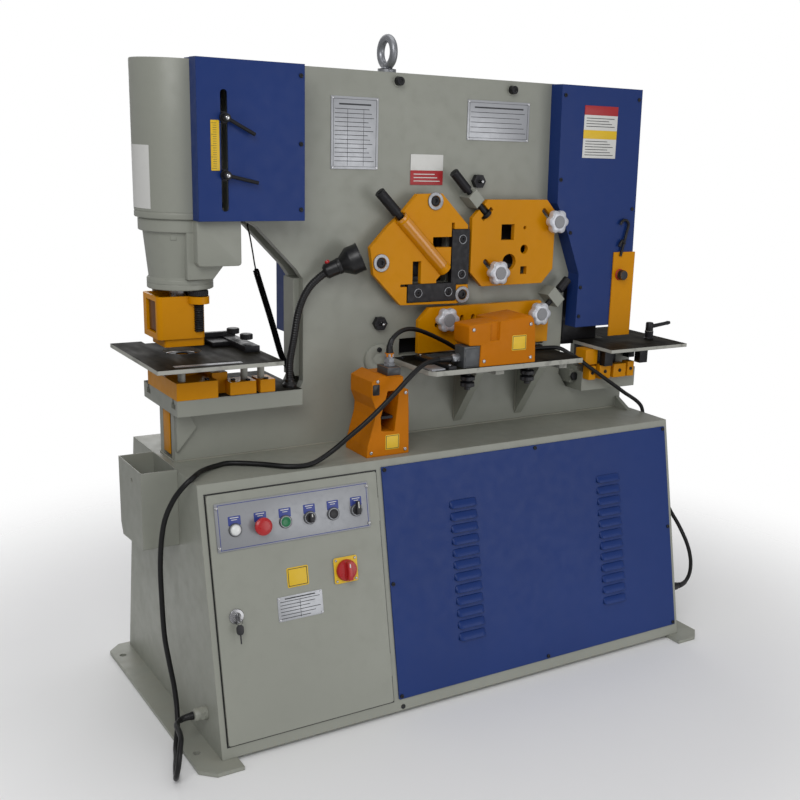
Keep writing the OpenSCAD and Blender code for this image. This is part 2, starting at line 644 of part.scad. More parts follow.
module guard_strip() color([0.74, 0.50, 0.04]) up() {
  slab(gd_y - 4, 4 - eps) translate([622.5, 916]) square([84, 256]);
  // clamp knob with its stud through the slot and the nut behind
  bar_y(650, 1104, gd_y - 26, gd_y - 4 + eps, 14);
  bar_y(650, 1104, gd_y - 5, gd_y + 11, 4.5);
  bar_y(650, 1104, gd_y + 3.4, gd_y + 10, 9);
  // wire hook above the strip
  bar_xz([646, 1160], [669.7, 1252.8], gd_y - 6.5, 2.6);
  translate([653.5, gd_y - 6.5, 1252]) rotate([90, 0, 0]) rotate_extrude(angle = 165)
    translate([16, 0]) circle(3);
  bar_xz([656.2, 1200], [647, 1206], gd_y - 6.5, 2.2);
  bar_xz([647.4, 1206.4], [638, 1190], gd_y - 6.5, 2);
}

module notch_bed() color([0.53, 0.53, 0.48]) up() {
  difference() {
    box([516, -100, 755 + eps], [728, 155, 815]);
    box([545, 0, 750], [640, 50, 830]);
  }
  for (b = [[519, 545, 836], [561, 604, 838], [616, 665, 836], [672, 697, 840]])
    box([b[0], -128, 795], [b[1], -100 + eps, b[2]]);
  box([516, -70, 815 - eps], [542, 130, 828]);
  box([650, -70, 815 - eps], [728, 130, 872]);
  box([500.5, -60, 775], [516 + eps, 100, 815]);
  hex_y(508, 797, -74, -60 + eps, 13);
}

module notch_table() color([0.16, 0.16, 0.16]) up() {
  difference() {
    box([532, -210, nt_z - 10], [835, 130, nt_z]);
    box([500, -26, 880], [650, 78, 910]);
  }
  for (x = [560, 700]) box([x, -150, 838 + eps], [x + 30, -126, nt_z - 10 + eps]);
  box([660, -60, 872 + eps], [720, 60, nt_z - 10 + eps]);
  // post of the clamp lever
  translate([776, -100, nt_z - eps]) cylinder(h = 26, r = 13);
}
module notch_lever() color([0.09, 0.09, 0.10]) up() {
  translate([776, -100, nt_z + 26]) cylinder(h = 20, r = 11);
  translate([776, -100, nt_z + 38]) rotate([0, 84, 0]) cylinder(h = 84, r = 5);
}

// Tube swept along points, one ring of n corners at each point
function unit(v) = v / norm(v);
function tang(p, i) = unit(p[min(i + 1, len(p) - 1)] - p[max(i - 1, 0)]);
function nrm(t) = let(a = abs(t[2]) > 0.9 ? [1, 0, 0] : [0, 0, 1]) unit(cross(t, a));
function walk(p, i) = i == 0 ? [nrm(tang(p, 0))]
  : let(w = walk(p, i - 1), t = tang(p, i), q = w[i - 1], r = unit(q - (q * t) * t)) concat(w, [r]);
module tube(p, r, n = 10) {
  w = walk(p, len(p) - 1);
  pts = [for (i = [0:len(p) - 1]) let(t = tang(p, i), u = w[i], v = cross(t, u))
    for (k = [0:n - 1]) p[i] + r * (cos(k * 360 / n) * u + sin(k * 360 / n) * v)];
  m = len(p) - 1;
  faces = concat([[for (k = [0:n - 1]) k]],
    [for (i = [0:m - 1], k = [0:n - 1]) [i * n + k, (i + 1) * n + k, (i + 1) * n + (k + 1) % n,
      i * n + (k + 1) % n]],
    [[for (k = [n - 1:-1:0]) m * n + k]]);
  polyhedron(pts, faces, convexity = 6);
}
// Smooth route through hand-set points, s steps between each pair
function hermite(a, b, c, d, t) = 0.5 * ((2 * b) + (c - a) * t + (2 * a - 5 * b + 4 * c - d) * t * t
  + (3 * b - a - 3 * c + d) * t * t * t);
function route(p, s) = concat([for (i = [0:len(p) - 2], k = [0:s - 1])
  hermite(p[max(i - 1, 0)], p[i], p[i + 1], p[min(i + 2, len(p) - 1)], k / s)], [p[len(p) - 1]]);

neck = [[-431, -60, 850], [-430, -60, 910], [-419, -60, 970], [-403, -60, 1050], [-372, -60, 1106],
  [-318, -62, 1148]];
module work_lamp() color([0.05, 0.05, 0.06]) up() {
  translate([-431, -60, pb_z + eps]) cylinder(h = 10, r = 18);
  tube(route(neck, 3), 10, 10);
  translate([-326, -61, 1143]) rotate([0, 66, -22]) {
    cylinder(h = 40, r = 20);
    translate([0, 0, 40 - eps]) cylinder(h = 24, r1 = 20, r2 = 37);
    translate([0, 0, 64 - 2 * eps]) cylinder(h = 32, r = 37);
  }
}

// Pedal lying on its side on the shear table
module pedal_a() color([0.76, 0.36, 0.03]) up() {
  difference() {
    slab(-256, 120) polygon([[32, st_z + eps], [217, st_z + eps], [211, 988], [200, 1022],
      [190, 1031], [36, 1021], [-34, 1035], [-52, 1015], [-56, 968], [-50, 962], [30, 957]]);
    slab(-250, 108) polygon([[38, st_z + 8], [240, st_z + 8], [240, 985], [204, 985],
      [193, 1016], [186, 1023], [37, 1013], [-31, 1027], [-45, 1011], [-49, 974], [38, 966]]);
    bar_y(46, 929, -254, -138, 5.05);
    // pressed groove down the front
    box([66, -258, 962], [83, -253.5, 1045]);
  }
  // entry block and gland
  box([-25, -250, st_z + eps], [32 + eps, -150, 958]);
  bar_x(-44, -25 + eps, -226, 922, 11);
}
module treadle_a() color([0.10, 0.10, 0.11]) up() {
  box([50, -246, 925], [202, -146, 933]);
  bar_y(46, 929, -253.5, -138.5, 5);
}

// Pedal standing on the cabinet top with its cable upwards
module pedal_b() color([0.76, 0.36, 0.03]) up() {
  difference() {
    slab(-208, 118) polygon([[-281, drawn_h + eps], [-154, drawn_h + eps], [-157, 785], [-160, 846],
      [-176, 852], [-176, 882], [-218, 882], [-236, 889], [-268, 874], [-268, 832], [-256, 800],
      [-258, 775], [-278, 702]]);
    // toe opening with the treadle in it
    slab(-210, 112) polygon([[-238, 740], [-199, 736], [-188, 838], [-190, 846], [-222, 846],
      [-224, 836], [-241, 778]]);
    bar_x(-248, -187, -108, 774, 4.05);
  }
  // cable entry
  box([-216, -196, 882 - eps], [-178, -140, 905]);
  translate([-196, -168, 905 - eps]) cylinder(h = 34, r = 12);
}
module treadle_b() color([0.10, 0.10, 0.11]) up() {
  box([-235, -200, 770.5], [-201, -108, 777.5]);
  bar_x(-247.5, -187.5, -108, 774, 4);
}

cable_a = [[-784.3, -265, 92], [-790, -265, 92], [-796, -265, 92], [-812, -268, 92], [-828, -280, 93],
  [-837, -298, 95], [-841, -325, 97], [-848, -360, 97], [-857, -382, 91], [-866, -400, 75],
  [-873, -409, 52], [-876, -405, 30], [-873, -391, 14], [-866, -370, 8], [-853, -330, 8],
  [-838, -290, 8], [-827, -255, 9], [-815, -228, 23], [-804, -205, 46], [-798, -185, 82],
  [-797, -166, 130], [-802, -150, 190], [-809, -142, 260], [-812, -140, 357], [-812, -140, 462],
  [-807, -160, 560], [-793, -190, 626], [-772, -207, 664], [-748, -205, 682], [-722, -175, 683],
  [-696, -148, 681], [-660, -125, 679], [-620, -117, 679], [-556, -157, 679], [-500, -207, 679],
  [-445, -216, 680], [-390, -210, 700], [-340, -224, 742], [-290, -238, 786], [-220, -246, 850],
  [-172, -246, 893], [-128, -236, 917], [-84, -227, 922], [-64, -226, 922], [-54, -226, 922],
  [-44.3, -226, 922]];
cable_b = [[776.3, -328, 150], [782, -328, 150], [788, -328, 150], [802, -328, 155],
  [814, -329, 170], [820, -330, 192], [819, -330, 222], [811, -329, 254], [799, -326, 286],
  [791, -312, 316], [790, -286, 343], [789, -250, 374], [787, -215, 415], [784, -180, 475],
  [779, -150, 545], [772, -127, 610], [764, -118, 652], [754, -118, 684], [732, -121, 705],
  [700, -127, 724], [661, -137, 744], [627, -139, 765], [590, -139, 788], [550, -139, 813],
  [505, -139, 841], [470, -138, 864], [432, -137, 885], [395, -133, 903], [355, -126, 906],
  [300, -121, 905.5], [220, -121, 905.5], [130, -121, 907], [60, -121, 918], [5, -121, 946],
  [-55, -124, 974], [-110, -142, 992], [-156, -160, 993], [-187, -168, 976], [-196, -168, 956],
  [-196, -168, 948], [-196, -168, 939.3]];
coil = [[-524, -18, 1263.3], [-524, -18, 1254], [-518, -18, 1230], [-511, -18, 1190],
  [-504, -18, 1150], [-489, -18, 1100],
  [-472, -18, 1046], [-455, -18, 990], [-434, -18, 920], [-411, -18, 880], [-404, -18, 850],
  [-404, -18, 834], [-404, -18, 820], [-404, -18, 805.02]];
module cord_a() color([0.04, 0.04, 0.045]) tube(route(cable_a, 2), cord_a_d / 2, 8);
module cord_b() color([0.04, 0.04, 0.045]) tube(route(cable_b, 2), cord_b_d / 2, 8);
module coil_cord() color([0.04, 0.04, 0.045]) {
  tube(route([for (i = [0:4]) coil[i]], 2), 3, 8);
  tube(route([for (i = [4:11]) coil[i]], 2), coil_d / 2, 8);
  tube(route([for (i = [11:len(coil) - 1]) coil[i]], 2), 3, 8);
}

foot_bars();
cabinet();
power_pack();
cabinet_door();
control_plate();
signal_lamp();
stop_button();
start_button();
jog_button();
selector_left();
selector_right();
isolator_knob();
door_lock();
louvre_panel();
side_tray();
cable_stubs();
machine_frame();
rear_cover();
frame_bolts();
name_plates();
left_cover();
stop_slide_upper();
stop_lever_upper();
stop_slide_lower();
stop_lever_lower();
punch_head();
punch_ram();
stripper_box();
beam_rod();
stripper_screw();
punch_bed();
die_holder();
punch_table();
punch_fence();
shear_beam();
angle_plate();
fixed_blades();
angle_handle();
angle_pad();
section_plate();
section_knob_a();
section_knob_b();
section_screw();
flat_plate();
flat_knob_a();
flat_knob_b();
shear_table();
right_guard();
guard_strip();
notch_bed();
notch_table();
notch_lever();
work_lamp();
pedal_a();
treadle_a();
pedal_b();
treadle_b();
cord_a();
cord_b();
coil_cord();
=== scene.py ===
# Ironworker machine: camera, light, finishes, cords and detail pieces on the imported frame.
import math

import bmesh
import bpy
from mathutils import Matrix, Vector


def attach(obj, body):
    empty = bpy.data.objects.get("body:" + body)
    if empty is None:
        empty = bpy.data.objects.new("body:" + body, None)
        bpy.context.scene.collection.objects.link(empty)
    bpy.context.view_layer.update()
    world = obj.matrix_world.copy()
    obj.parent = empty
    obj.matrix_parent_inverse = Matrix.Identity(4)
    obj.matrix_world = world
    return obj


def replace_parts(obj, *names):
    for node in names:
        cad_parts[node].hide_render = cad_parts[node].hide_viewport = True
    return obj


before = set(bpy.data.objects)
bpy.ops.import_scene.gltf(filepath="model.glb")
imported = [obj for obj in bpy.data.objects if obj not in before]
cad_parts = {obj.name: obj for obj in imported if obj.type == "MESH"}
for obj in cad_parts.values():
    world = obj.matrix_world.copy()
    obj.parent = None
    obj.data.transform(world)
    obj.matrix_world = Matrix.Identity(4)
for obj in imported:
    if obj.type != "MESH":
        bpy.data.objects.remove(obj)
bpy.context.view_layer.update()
print("frame loaded", len(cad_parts), "nodes")

mm = 0.001  # pieces are drawn in millimetres
slopeSin, slopeCos = 0.19696, 0.98041  # the cabinet's front leans back
frontFootY = -370.0
punchX, punchY = -685.0, 25.0
buttonX = [-668, -602, -537, -471, -406, -340]
buttonS = 567  # height of the buttons up the slope


# linear colour from display values of 0 to 255
def rgb(r, g, b):
    return tuple(((c / 255) / 12.92 if c / 255 <= 0.04045 else ((c / 255 + 0.055) / 1.055) ** 2.4)
                 for c in (r, g, b)) + (1.0,)


# camera, light and floor
cameraSettings = {
    "place": (-1.6151, -2.6687, 1.4988),
    "right": (0.834476, -0.549658, 0.039072),
    "down": (-0.111434, -0.237767, -0.964909),
    "forward": (0.53966, 0.800839, -0.259661),
    "lens": 50.08, "sensor": 36.0, "shiftX": -0.0882, "shiftY": 0.0423, "reach": 100.0,
}


def makeCamera(cfg):
    data = bpy.data.cameras.new("camera")
    data.lens, data.sensor_width, data.sensor_fit = cfg["lens"], cfg["sensor"], "HORIZONTAL"
    data.shift_x, data.shift_y = cfg["shiftX"], cfg["shiftY"]
    data.clip_end = cfg["reach"]
    cam = bpy.data.objects.new("camera", data)
    bpy.context.scene.collection.objects.link(cam)
    right, up, back = Vector(cfg["right"]), -Vector(cfg["down"]), -Vector(cfg["forward"])
    cam.matrix_world = Matrix.LocRotScale(
        Vector(cfg["place"]), Matrix((right, up, back)).transposed().to_quaternion(), None)
    bpy.context.scene.camera = cam
    return cam


makeCamera(cameraSettings)

lightSettings = [
    {"name": "key", "place": (-2.6, -3.4, 3.6), "aim": (0.0, 0.0, 0.75), "size": 2.6, "watts": 84},
    {"name": "fill", "place": (2.2, -4.2, 0.9), "aim": (-0.1, 0.0, 0.5), "size": 2.6, "watts": 34},
    {"name": "top", "place": (0.2, 0.4, 4.4), "aim": (0.0, 0.0, 0.8), "size": 3.0, "watts": 30},
    {"name": "rear", "place": (0.8, 4.2, 2.6), "aim": (0.0, 0.0, 0.9), "size": 3.0, "watts": 40},
]


def makeLight(cfg):
    data = bpy.data.lights.new(cfg["name"], "AREA")
    data.shape, data.size, data.energy = "SQUARE", cfg["size"], cfg["watts"]
    lamp = bpy.data.objects.new(cfg["name"], data)
    bpy.context.scene.collection.objects.link(lamp)
    place = Vector(cfg["place"])
    lamp.matrix_world = Matrix.LocRotScale(
        place, (Vector(cfg["aim"]) - place).to_track_quat("-Z", "Y"), None)


for cfg in lightSettings:
    makeLight(cfg)


worldSettings = {"level": 0.38, "blue": 1.02, "behind": (1, 1, 1, 1)}


# even light on the object, with white behind it for the camera and through glass
def makeWorld(cfg):
    world = bpy.data.worlds.new("studio")
    bpy.context.scene.world = world
    world.use_nodes = True
    tree = world.node_tree
    tree.nodes.clear()
    out = tree.nodes.new("ShaderNodeOutputWorld")
    back = tree.nodes.new("ShaderNodeBackground")
    path = tree.nodes.new("ShaderNodeLightPath")
    seen = tree.nodes.new("ShaderNodeMath")
    seen.operation = "MAXIMUM"
    mix = tree.nodes.new("ShaderNodeMix")
    mix.data_type = "RGBA"
    mix.inputs["A"].default_value = (cfg["level"], cfg["level"], cfg["level"] * cfg["blue"], 1)
    mix.inputs["B"].default_value = cfg["behind"]
    tree.links.new(path.outputs["Is Camera Ray"], seen.inputs[0])
    tree.links.new(path.outputs["Is Transmission Ray"], seen.inputs[1])
    tree.links.new(seen.outputs[0], mix.inputs["Factor"])
    tree.links.new(mix.outputs["Result"], back.inputs["Color"])
    tree.links.new(back.outputs[0], out.inputs["Surface"])


makeWorld(worldSettings)
scene = bpy.context.scene
scene.view_settings.view_transform = "Standard"
scene.view_settings.look = "None"
scene.view_settings.exposure = 0.0
scene.view_settings.gamma = 1.0
print("camera and light set")


# shader node groups shared by the finishes
def groupSockets(group, ins, outs):
    for name, kind, default in ins:
        sock = group.interface.new_socket(name=name, in_out="INPUT", socket_type=kind)
        if default is not None:
            sock.default_value = default
    for name, kind in outs:
        group.interface.new_socket(name=name, in_out="OUTPUT", socket_type=kind)
    return group.nodes.new("NodeGroupInput"), group.nodes.new("NodeGroupOutput")


def node(tree, kind, **props):
    made = tree.nodes.new(kind)
    for key, value in props.items():
        setattr(made, key, value)
    return made


def link(tree, a, b):
    tree.links.new(a, b)


def mathNode(tree, op, a, b=None, clamp=False):
    made = node(tree, "ShaderNodeMath", operation=op, use_clamp=clamp)
    for i, v in enumerate((a, b)):
        if v is None:
            continue
        if isinstance(v, (int, float)):
            made.inputs[i].default_value = v
        else:
            link(tree, v, made.inputs[i])
    return made.outputs[0]


def mixColour(tree, fac, a, b, blend="MIX"):
    made = node(tree, "ShaderNodeMix", data_type="RGBA", blend_type=blend)
    for name, v in (("Factor", fac), ("A", a), ("B", b)):
        if isinstance(v, (int, float, tuple)):
            made.inputs[name].default_value = v
        else:
            link(tree, v, made.inputs[name])
    return made.outputs["Result"]


def rampFloat(tree, value, low, high, toLow=0.0, toHigh=1.0):
    made = node(tree, "ShaderNodeMapRange", clamp=True)
    link(tree, value, made.inputs["Value"])
    for name, v in (("From Min", low), ("From Max", high), ("To Min", toLow), ("To Max", toHigh)):
        made.inputs[name].default_value = v
    return made.outputs["Result"]


def makeGrainGroup():
    group = bpy.data.node_groups.new("grain", "ShaderNodeTree")
    gin, gout = groupSockets(
        group, [("Scale", "NodeSocketFloat", 40.0), ("Stretch", "NodeSocketVector", (1, 1, 1))],
        [("Cloud", "NodeSocketFloat"), ("Fine", "NodeSocketFloat"), ("Peel", "NodeSocketFloat")])
    coord = node(group, "ShaderNodeTexCoord")
    mapping = node(group, "ShaderNodeMapping")
    link(group, coord.outputs["Object"], mapping.inputs["Vector"])
    link(group, gin.outputs["Stretch"], mapping.inputs["Scale"])
    for name, factor, detail in (("Cloud", 0.08, 4.0), ("Fine", 1.0, 5.0), ("Peel", 8.0, 2.0)):
        noise = node(group, "ShaderNodeTexNoise")
        noise.inputs["Detail"].default_value = detail
        link(group, mapping.outputs["Vector"], noise.inputs["Vector"])
        link(group, mathNode(group, "MULTIPLY", gin.outputs["Scale"], factor), noise.inputs["Scale"])
        link(group, noise.outputs["Fac"], gout.inputs[name])
    return group


# mask of the rounded edges, broken up by noise: the lighter tint it carries is painted highlight on paint,
# plastic and knobs, and wear on bare steel
def makeEdgeGroup():
    group = bpy.data.node_groups.new("edgeWearAndHighlight", "ShaderNodeTree")
    gin, gout = groupSockets(
        group, [("Radius", "NodeSocketFloat", 0.002), ("Breakup", "NodeSocketFloat", 90.0)],
        [("Mask", "NodeSocketFloat"), ("Normal", "NodeSocketVector")])
    bevel = node(group, "ShaderNodeBevel", samples=4)
    link(group, gin.outputs["Radius"], bevel.inputs["Radius"])
    geo = node(group, "ShaderNodeNewGeometry")
    dot = node(group, "ShaderNodeVectorMath", operation="DOT_PRODUCT")
    link(group, bevel.outputs["Normal"], dot.inputs[0])
    link(group, geo.outputs["Normal"], dot.inputs[1])
    edge = rampFloat(group, dot.outputs["Value"], 0.985, 0.80)
    coord = node(group, "ShaderNodeTexCoord")
    noise = node(group, "ShaderNodeTexNoise")
    link(group, coord.outputs["Object"], noise.inputs["Vector"])
    link(group, gin.outputs["Breakup"], noise.inputs["Scale"])
    noise.inputs["Detail"].default_value = 6.0
    broken = rampFloat(group, noise.outputs["Fac"], 0.42, 0.62)
    link(group, mathNode(group, "MULTIPLY", edge, broken), gout.inputs["Mask"])
    link(group, bevel.outputs["Normal"], gout.inputs["Normal"])
    return group


def makeDustGroup():
    group = bpy.data.node_groups.new("dust", "ShaderNodeTree")
    gin, gout = groupSockets(group, [("Amount", "NodeSocketFloat", 0.3)], [("Mask", "NodeSocketFloat")])
    geo = node(group, "ShaderNodeNewGeometry")
    split = node(group, "ShaderNodeSeparateXYZ")
    link(group, geo.outputs["Normal"], split.inputs[0])
    up = rampFloat(group, split.outputs["Z"], 0.55, 0.95)
    coord = node(group, "ShaderNodeTexCoord")
    noise = node(group, "ShaderNodeTexNoise")
    link(group, coord.outputs["Object"], noise.inputs["Vector"])
    noise.inputs["Scale"].default_value = 14.0
    noise.inputs["Detail"].default_value = 7.0
    cloud = rampFloat(group, noise.outputs["Fac"], 0.35, 0.7)
    both = mathNode(group, "MULTIPLY", up, cloud)
    link(group, mathNode(group, "MULTIPLY", both, gin.outputs["Amount"]), gout.inputs["Mask"])
    return group


grainGroup, edgeGroup, dustGroup = makeGrainGroup(), makeEdgeGroup(), makeDustGroup()


# a finish: tone variation, grain relief, edges tinted lighter (painted highlight on paint, plastic and knobs,
# wear on the bare steels) and settled dust
def finish(name, cfg):
    mat = bpy.data.materials.new(name)
    mat.use_nodes = True
    tree = mat.node_tree
    tree.nodes.clear()
    out = node(tree, "ShaderNodeOutputMaterial")
    bsdf = node(tree, "ShaderNodeBsdfPrincipled")
    link(tree, bsdf.outputs[0], out.inputs["Surface"])
    grain = node(tree, "ShaderNodeGroup", node_tree=grainGroup)
    grain.inputs["Scale"].default_value = cfg.get("scale", 40.0)
    grain.inputs["Stretch"].default_value = cfg.get("stretch", (1, 1, 1))
    tone = cfg["tone"]
    vary = cfg.get("vary", 0.08)
    darker = tuple(c * (1 - vary) for c in tone[:3]) + (1,)
    lighter = tuple(min(1, c * (1 + vary)) for c in tone[:3]) + (1,)
    colour = mixColour(tree, rampFloat(tree, grain.outputs["Cloud"], 0.3, 0.7), darker, lighter)
    fineDark = tuple(c * (1 - cfg.get("speck", 0.06)) for c in tone[:3]) + (1,)
    if "sideTone" in cfg:
        geo = node(tree, "ShaderNodeNewGeometry")
        split = node(tree, "ShaderNodeSeparateXYZ")
        link(tree, geo.outputs["Normal"], split.inputs[0])
        flat = rampFloat(tree, mathNode(tree, "ABSOLUTE", split.outputs["Z"]), 0.4, 0.6, 1.0, 0.0)
        colour = mixColour(tree, flat, colour, cfg["sideTone"])
    speck = rampFloat(tree, grain.outputs["Fine"], 0.52, 0.72, 0.0, cfg.get("speckMix", 0.5))
    colour = mixColour(tree, speck, colour, fineDark)
    normal = None
    if cfg.get("edge", 0.0) > 0 or cfg.get("round", 0.0) > 0:
        edge = node(tree, "ShaderNodeGroup", node_tree=edgeGroup)
        edge.inputs["Radius"].default_value = cfg.get("round", 0.002)
        normal = edge.outputs["Normal"]
        # edge tint: painted highlight where the tone is a lighter shade of the paint, wear on the bare steels
        if cfg.get("edge", 0.0) > 0:
            amount = mathNode(tree, "MULTIPLY", edge.outputs["Mask"], cfg["edge"])
            colour = mixColour(tree, amount, colour, cfg.get("edgeWearHighlightTone", rgb(150, 148, 140)))
    if cfg.get("dust", 0.0) > 0:
        dust = node(tree, "ShaderNodeGroup", node_tree=dustGroup)
        dust.inputs["Amount"].default_value = cfg["dust"]
        colour = mixColour(tree, dust.outputs["Mask"], colour, cfg.get("dustTone", rgb(150, 145, 130)))
    link(tree, colour, bsdf.inputs["Base Color"])
    low, high = cfg.get("rough", (0.35, 0.5))
    link(tree, rampFloat(tree, grain.outputs["Fine"], 0.3, 0.7, low, high), bsdf.inputs["Roughness"])
    bsdf.inputs["Metallic"].default_value = cfg.get("metallic", 0.0)
    bsdf.inputs["Specular IOR Level"].default_value = cfg.get("specular", 0.5)
    bsdf.inputs["Coat Weight"].default_value = cfg.get("coat", 0.0)
    bsdf.inputs["Coat Roughness"].default_value = cfg.get("coatRough", 0.15)
    bump = node(tree, "ShaderNodeBump")
    bump.inputs["Strength"].default_value = cfg.get("bump", 0.15)
    bump.inputs["Distance"].default_value = cfg.get("relief", 0.0006)
    link(tree, grain.outputs[cfg.get("reliefFrom", "Peel")], bump.inputs["Height"])
    if normal is not None:
        link(tree, normal, bump.inputs["Normal"])
    link(tree, bump.outputs[0], bsdf.inputs["Normal"])
    mat.diffuse_color = tone
    return mat


metalEdge = rgb(176, 172, 164)
# edge tones that are lighter shades of a paint or plastic are painted highlight; the grey edge tones of the
# steels are wear
finishSettings = {
    "frame_paint": dict(tone=rgb(146, 148, 138), vary=0.05, scale=30, rough=(0.34, 0.5), bump=0.12,
                        round=0.003, relief=0.0005, edge=0.25, edgeWearHighlightTone=rgb(186, 184, 172), dust=0.25),
    "blue_paint": dict(tone=rgb(24, 51, 112), vary=0.06, scale=34, rough=(0.3, 0.44), specular=0.22,
                       speck=0.0, bump=0.14, relief=0.0005, round=0.0025, edge=0.3,
                       edgeWearHighlightTone=rgb(80, 104, 162), dust=0.06),
    "yellow_paint": dict(tone=rgb(208, 138, 0), vary=0.07, scale=44, rough=(0.28, 0.42), specular=0.12,
                         bump=0.1, round=0.002, edge=0.3, edgeWearHighlightTone=rgb(236, 180, 50)),
    "orange_paint": dict(tone=rgb(192, 112, 0), vary=0.08, scale=50, rough=(0.36, 0.5), specular=0.12,
                         bump=0.22, relief=0.0008, round=0.004, edge=0.3, edgeWearHighlightTone=rgb(226, 160, 50),
                         dust=0.03),
    "machine_grey": dict(tone=rgb(86, 88, 90), vary=0.1, scale=60, rough=(0.35, 0.55), metallic=0.6,
                         round=0.002, edge=0.4, edgeWearHighlightTone=metalEdge),
    "plate_steel": dict(tone=rgb(150, 152, 156), vary=0.05, scale=90, rough=(0.3, 0.42), metallic=0.35,
                        bump=0.06, round=0.001, edge=0.2, edgeWearHighlightTone=rgb(210, 210, 212)),
    "white_lens": dict(tone=rgb(232, 234, 232), vary=0.03, scale=80, rough=(0.12, 0.2), bump=0.05, coat=0.4,
                       round=0.001),
    "red_plastic": dict(tone=rgb(176, 26, 30), vary=0.06, scale=80, rough=(0.25, 0.36), bump=0.06, coat=0.2,
                        round=0.0015),
    "green_plastic": dict(tone=rgb(14, 112, 66), vary=0.05, scale=80, rough=(0.25, 0.36), bump=0.06,
                          coat=0.2, round=0.001),
    "black_plastic": dict(tone=rgb(30, 30, 33), vary=0.12, scale=80, rough=(0.35, 0.5), bump=0.12,
                          round=0.0012, edge=0.15, edgeWearHighlightTone=rgb(70, 70, 72)),
    "chrome": dict(tone=rgb(206, 206, 208), vary=0.03, scale=120, rough=(0.1, 0.2), metallic=1.0, bump=0.03,
                   round=0.001),
    "black_steel": dict(tone=rgb(34, 34, 37), vary=0.15, scale=70, rough=(0.34, 0.55), metallic=0.5,
                        bump=0.2, round=0.0012, edge=0.5, edgeWearHighlightTone=rgb(120, 118, 114)),
    "label_plate": dict(tone=rgb(176, 178, 182), vary=0.04, scale=60, rough=(0.3, 0.42), metallic=0.5,
                        bump=0.05, round=0.0006),
    "bright_steel": dict(tone=rgb(176, 176, 178), vary=0.06, scale=90, rough=(0.18, 0.32), metallic=1.0,
                         bump=0.06, stretch=(1, 1, 0.1), round=0.0012),
    "dark_steel": dict(tone=rgb(74, 74, 76), vary=0.12, scale=70, rough=(0.34, 0.5), metallic=0.85,
                       bump=0.12, round=0.0012, edge=0.5, edgeWearHighlightTone=rgb(150, 148, 144)),
    "table_steel": dict(tone=rgb(17, 15, 10), sideTone=rgb(172, 172, 164), vary=0.25, scale=36,
                        stretch=(1, 0.25, 1), rough=(0.5, 0.7), specular=0.05, bump=0.14, round=0.0025,
                        edge=0.8, edgeWearHighlightTone=rgb(170, 170, 166), dust=0.08),
    "silver_knob": dict(tone=rgb(206, 208, 214), vary=0.06, scale=90, rough=(0.26, 0.4), metallic=0.35,
                        bump=0.12, round=0.003, edge=0.3, edgeWearHighlightTone=rgb(228, 228, 230)),
    "lamp_black": dict(tone=rgb(20, 20, 22), vary=0.15, scale=80, rough=(0.28, 0.45), bump=0.16,
                       round=0.002),
    "cord_rubber": dict(tone=rgb(17, 17, 18), vary=0.15, scale=120, rough=(0.34, 0.5), specular=0.3,
                        bump=0.25, relief=0.0004),
    "galvanised": dict(tone=rgb(150, 152, 156), vary=0.14, scale=50, rough=(0.3, 0.5), metallic=0.8,
                       bump=0.15, round=0.001),
    "coil_black": dict(tone=rgb(7, 7, 8), sideTone=rgb(7, 7, 8), vary=0.1, scale=120, rough=(0.6, 0.75),
                       specular=0.03, bump=0.1),
    "gloss_yellow": dict(tone=rgb(206, 134, 3), vary=0.06, scale=44, rough=(0.14, 0.2), bump=0.05, coat=0.9,
                         coatRough=0.05, specular=0.4, round=0.002),
    "knob_grey": dict(tone=rgb(140, 141, 144), vary=0.06, scale=80, rough=(0.35, 0.48), bump=0.08,
                      round=0.001),
    "tag_blue": dict(tone=rgb(52, 66, 140), vary=0.05, scale=90, rough=(0.35, 0.45), bump=0.05,
                     round=0.0006),
    "tag_white": dict(tone=rgb(214, 214, 210), vary=0.03, scale=70, rough=(0.3, 0.45), bump=0.04,
                      round=0.0006),
    "tag_red": dict(tone=rgb(168, 30, 36), vary=0.05, scale=70, rough=(0.35, 0.45), bump=0.04,
                    round=0.0006),
    "tag_yellow": dict(tone=rgb(226, 186, 26), vary=0.05, scale=70, rough=(0.35, 0.45), bump=0.04,
                       round=0.0006),
    "ink": dict(tone=rgb(40, 42, 46), vary=0.05, scale=70, rough=(0.4, 0.5), bump=0.02),
    "amber_glass": dict(tone=rgb(104, 62, 20), vary=0.1, scale=40, rough=(0.3, 0.45), specular=0.15,
                        bump=0.02, round=0.001),
    "weld": dict(tone=rgb(140, 140, 128), vary=0.12, scale=110, rough=(0.35, 0.5), bump=0.5, relief=0.0012,
                 reliefFrom="Fine"),
}
finishes = {name: finish(name, cfg) for name, cfg in finishSettings.items()}
print("finishes made", len(finishes))


floorSettings = {"half": 16.0, "drop": 0.0005, "fadeFrom": 1.0, "fadeTo": 2.1}
floorFinish = dict(tone=(0.93, 0.93, 0.93, 1), vary=0.01, scale=4, speck=0.01, rough=(0.6, 0.7), bump=0.02)


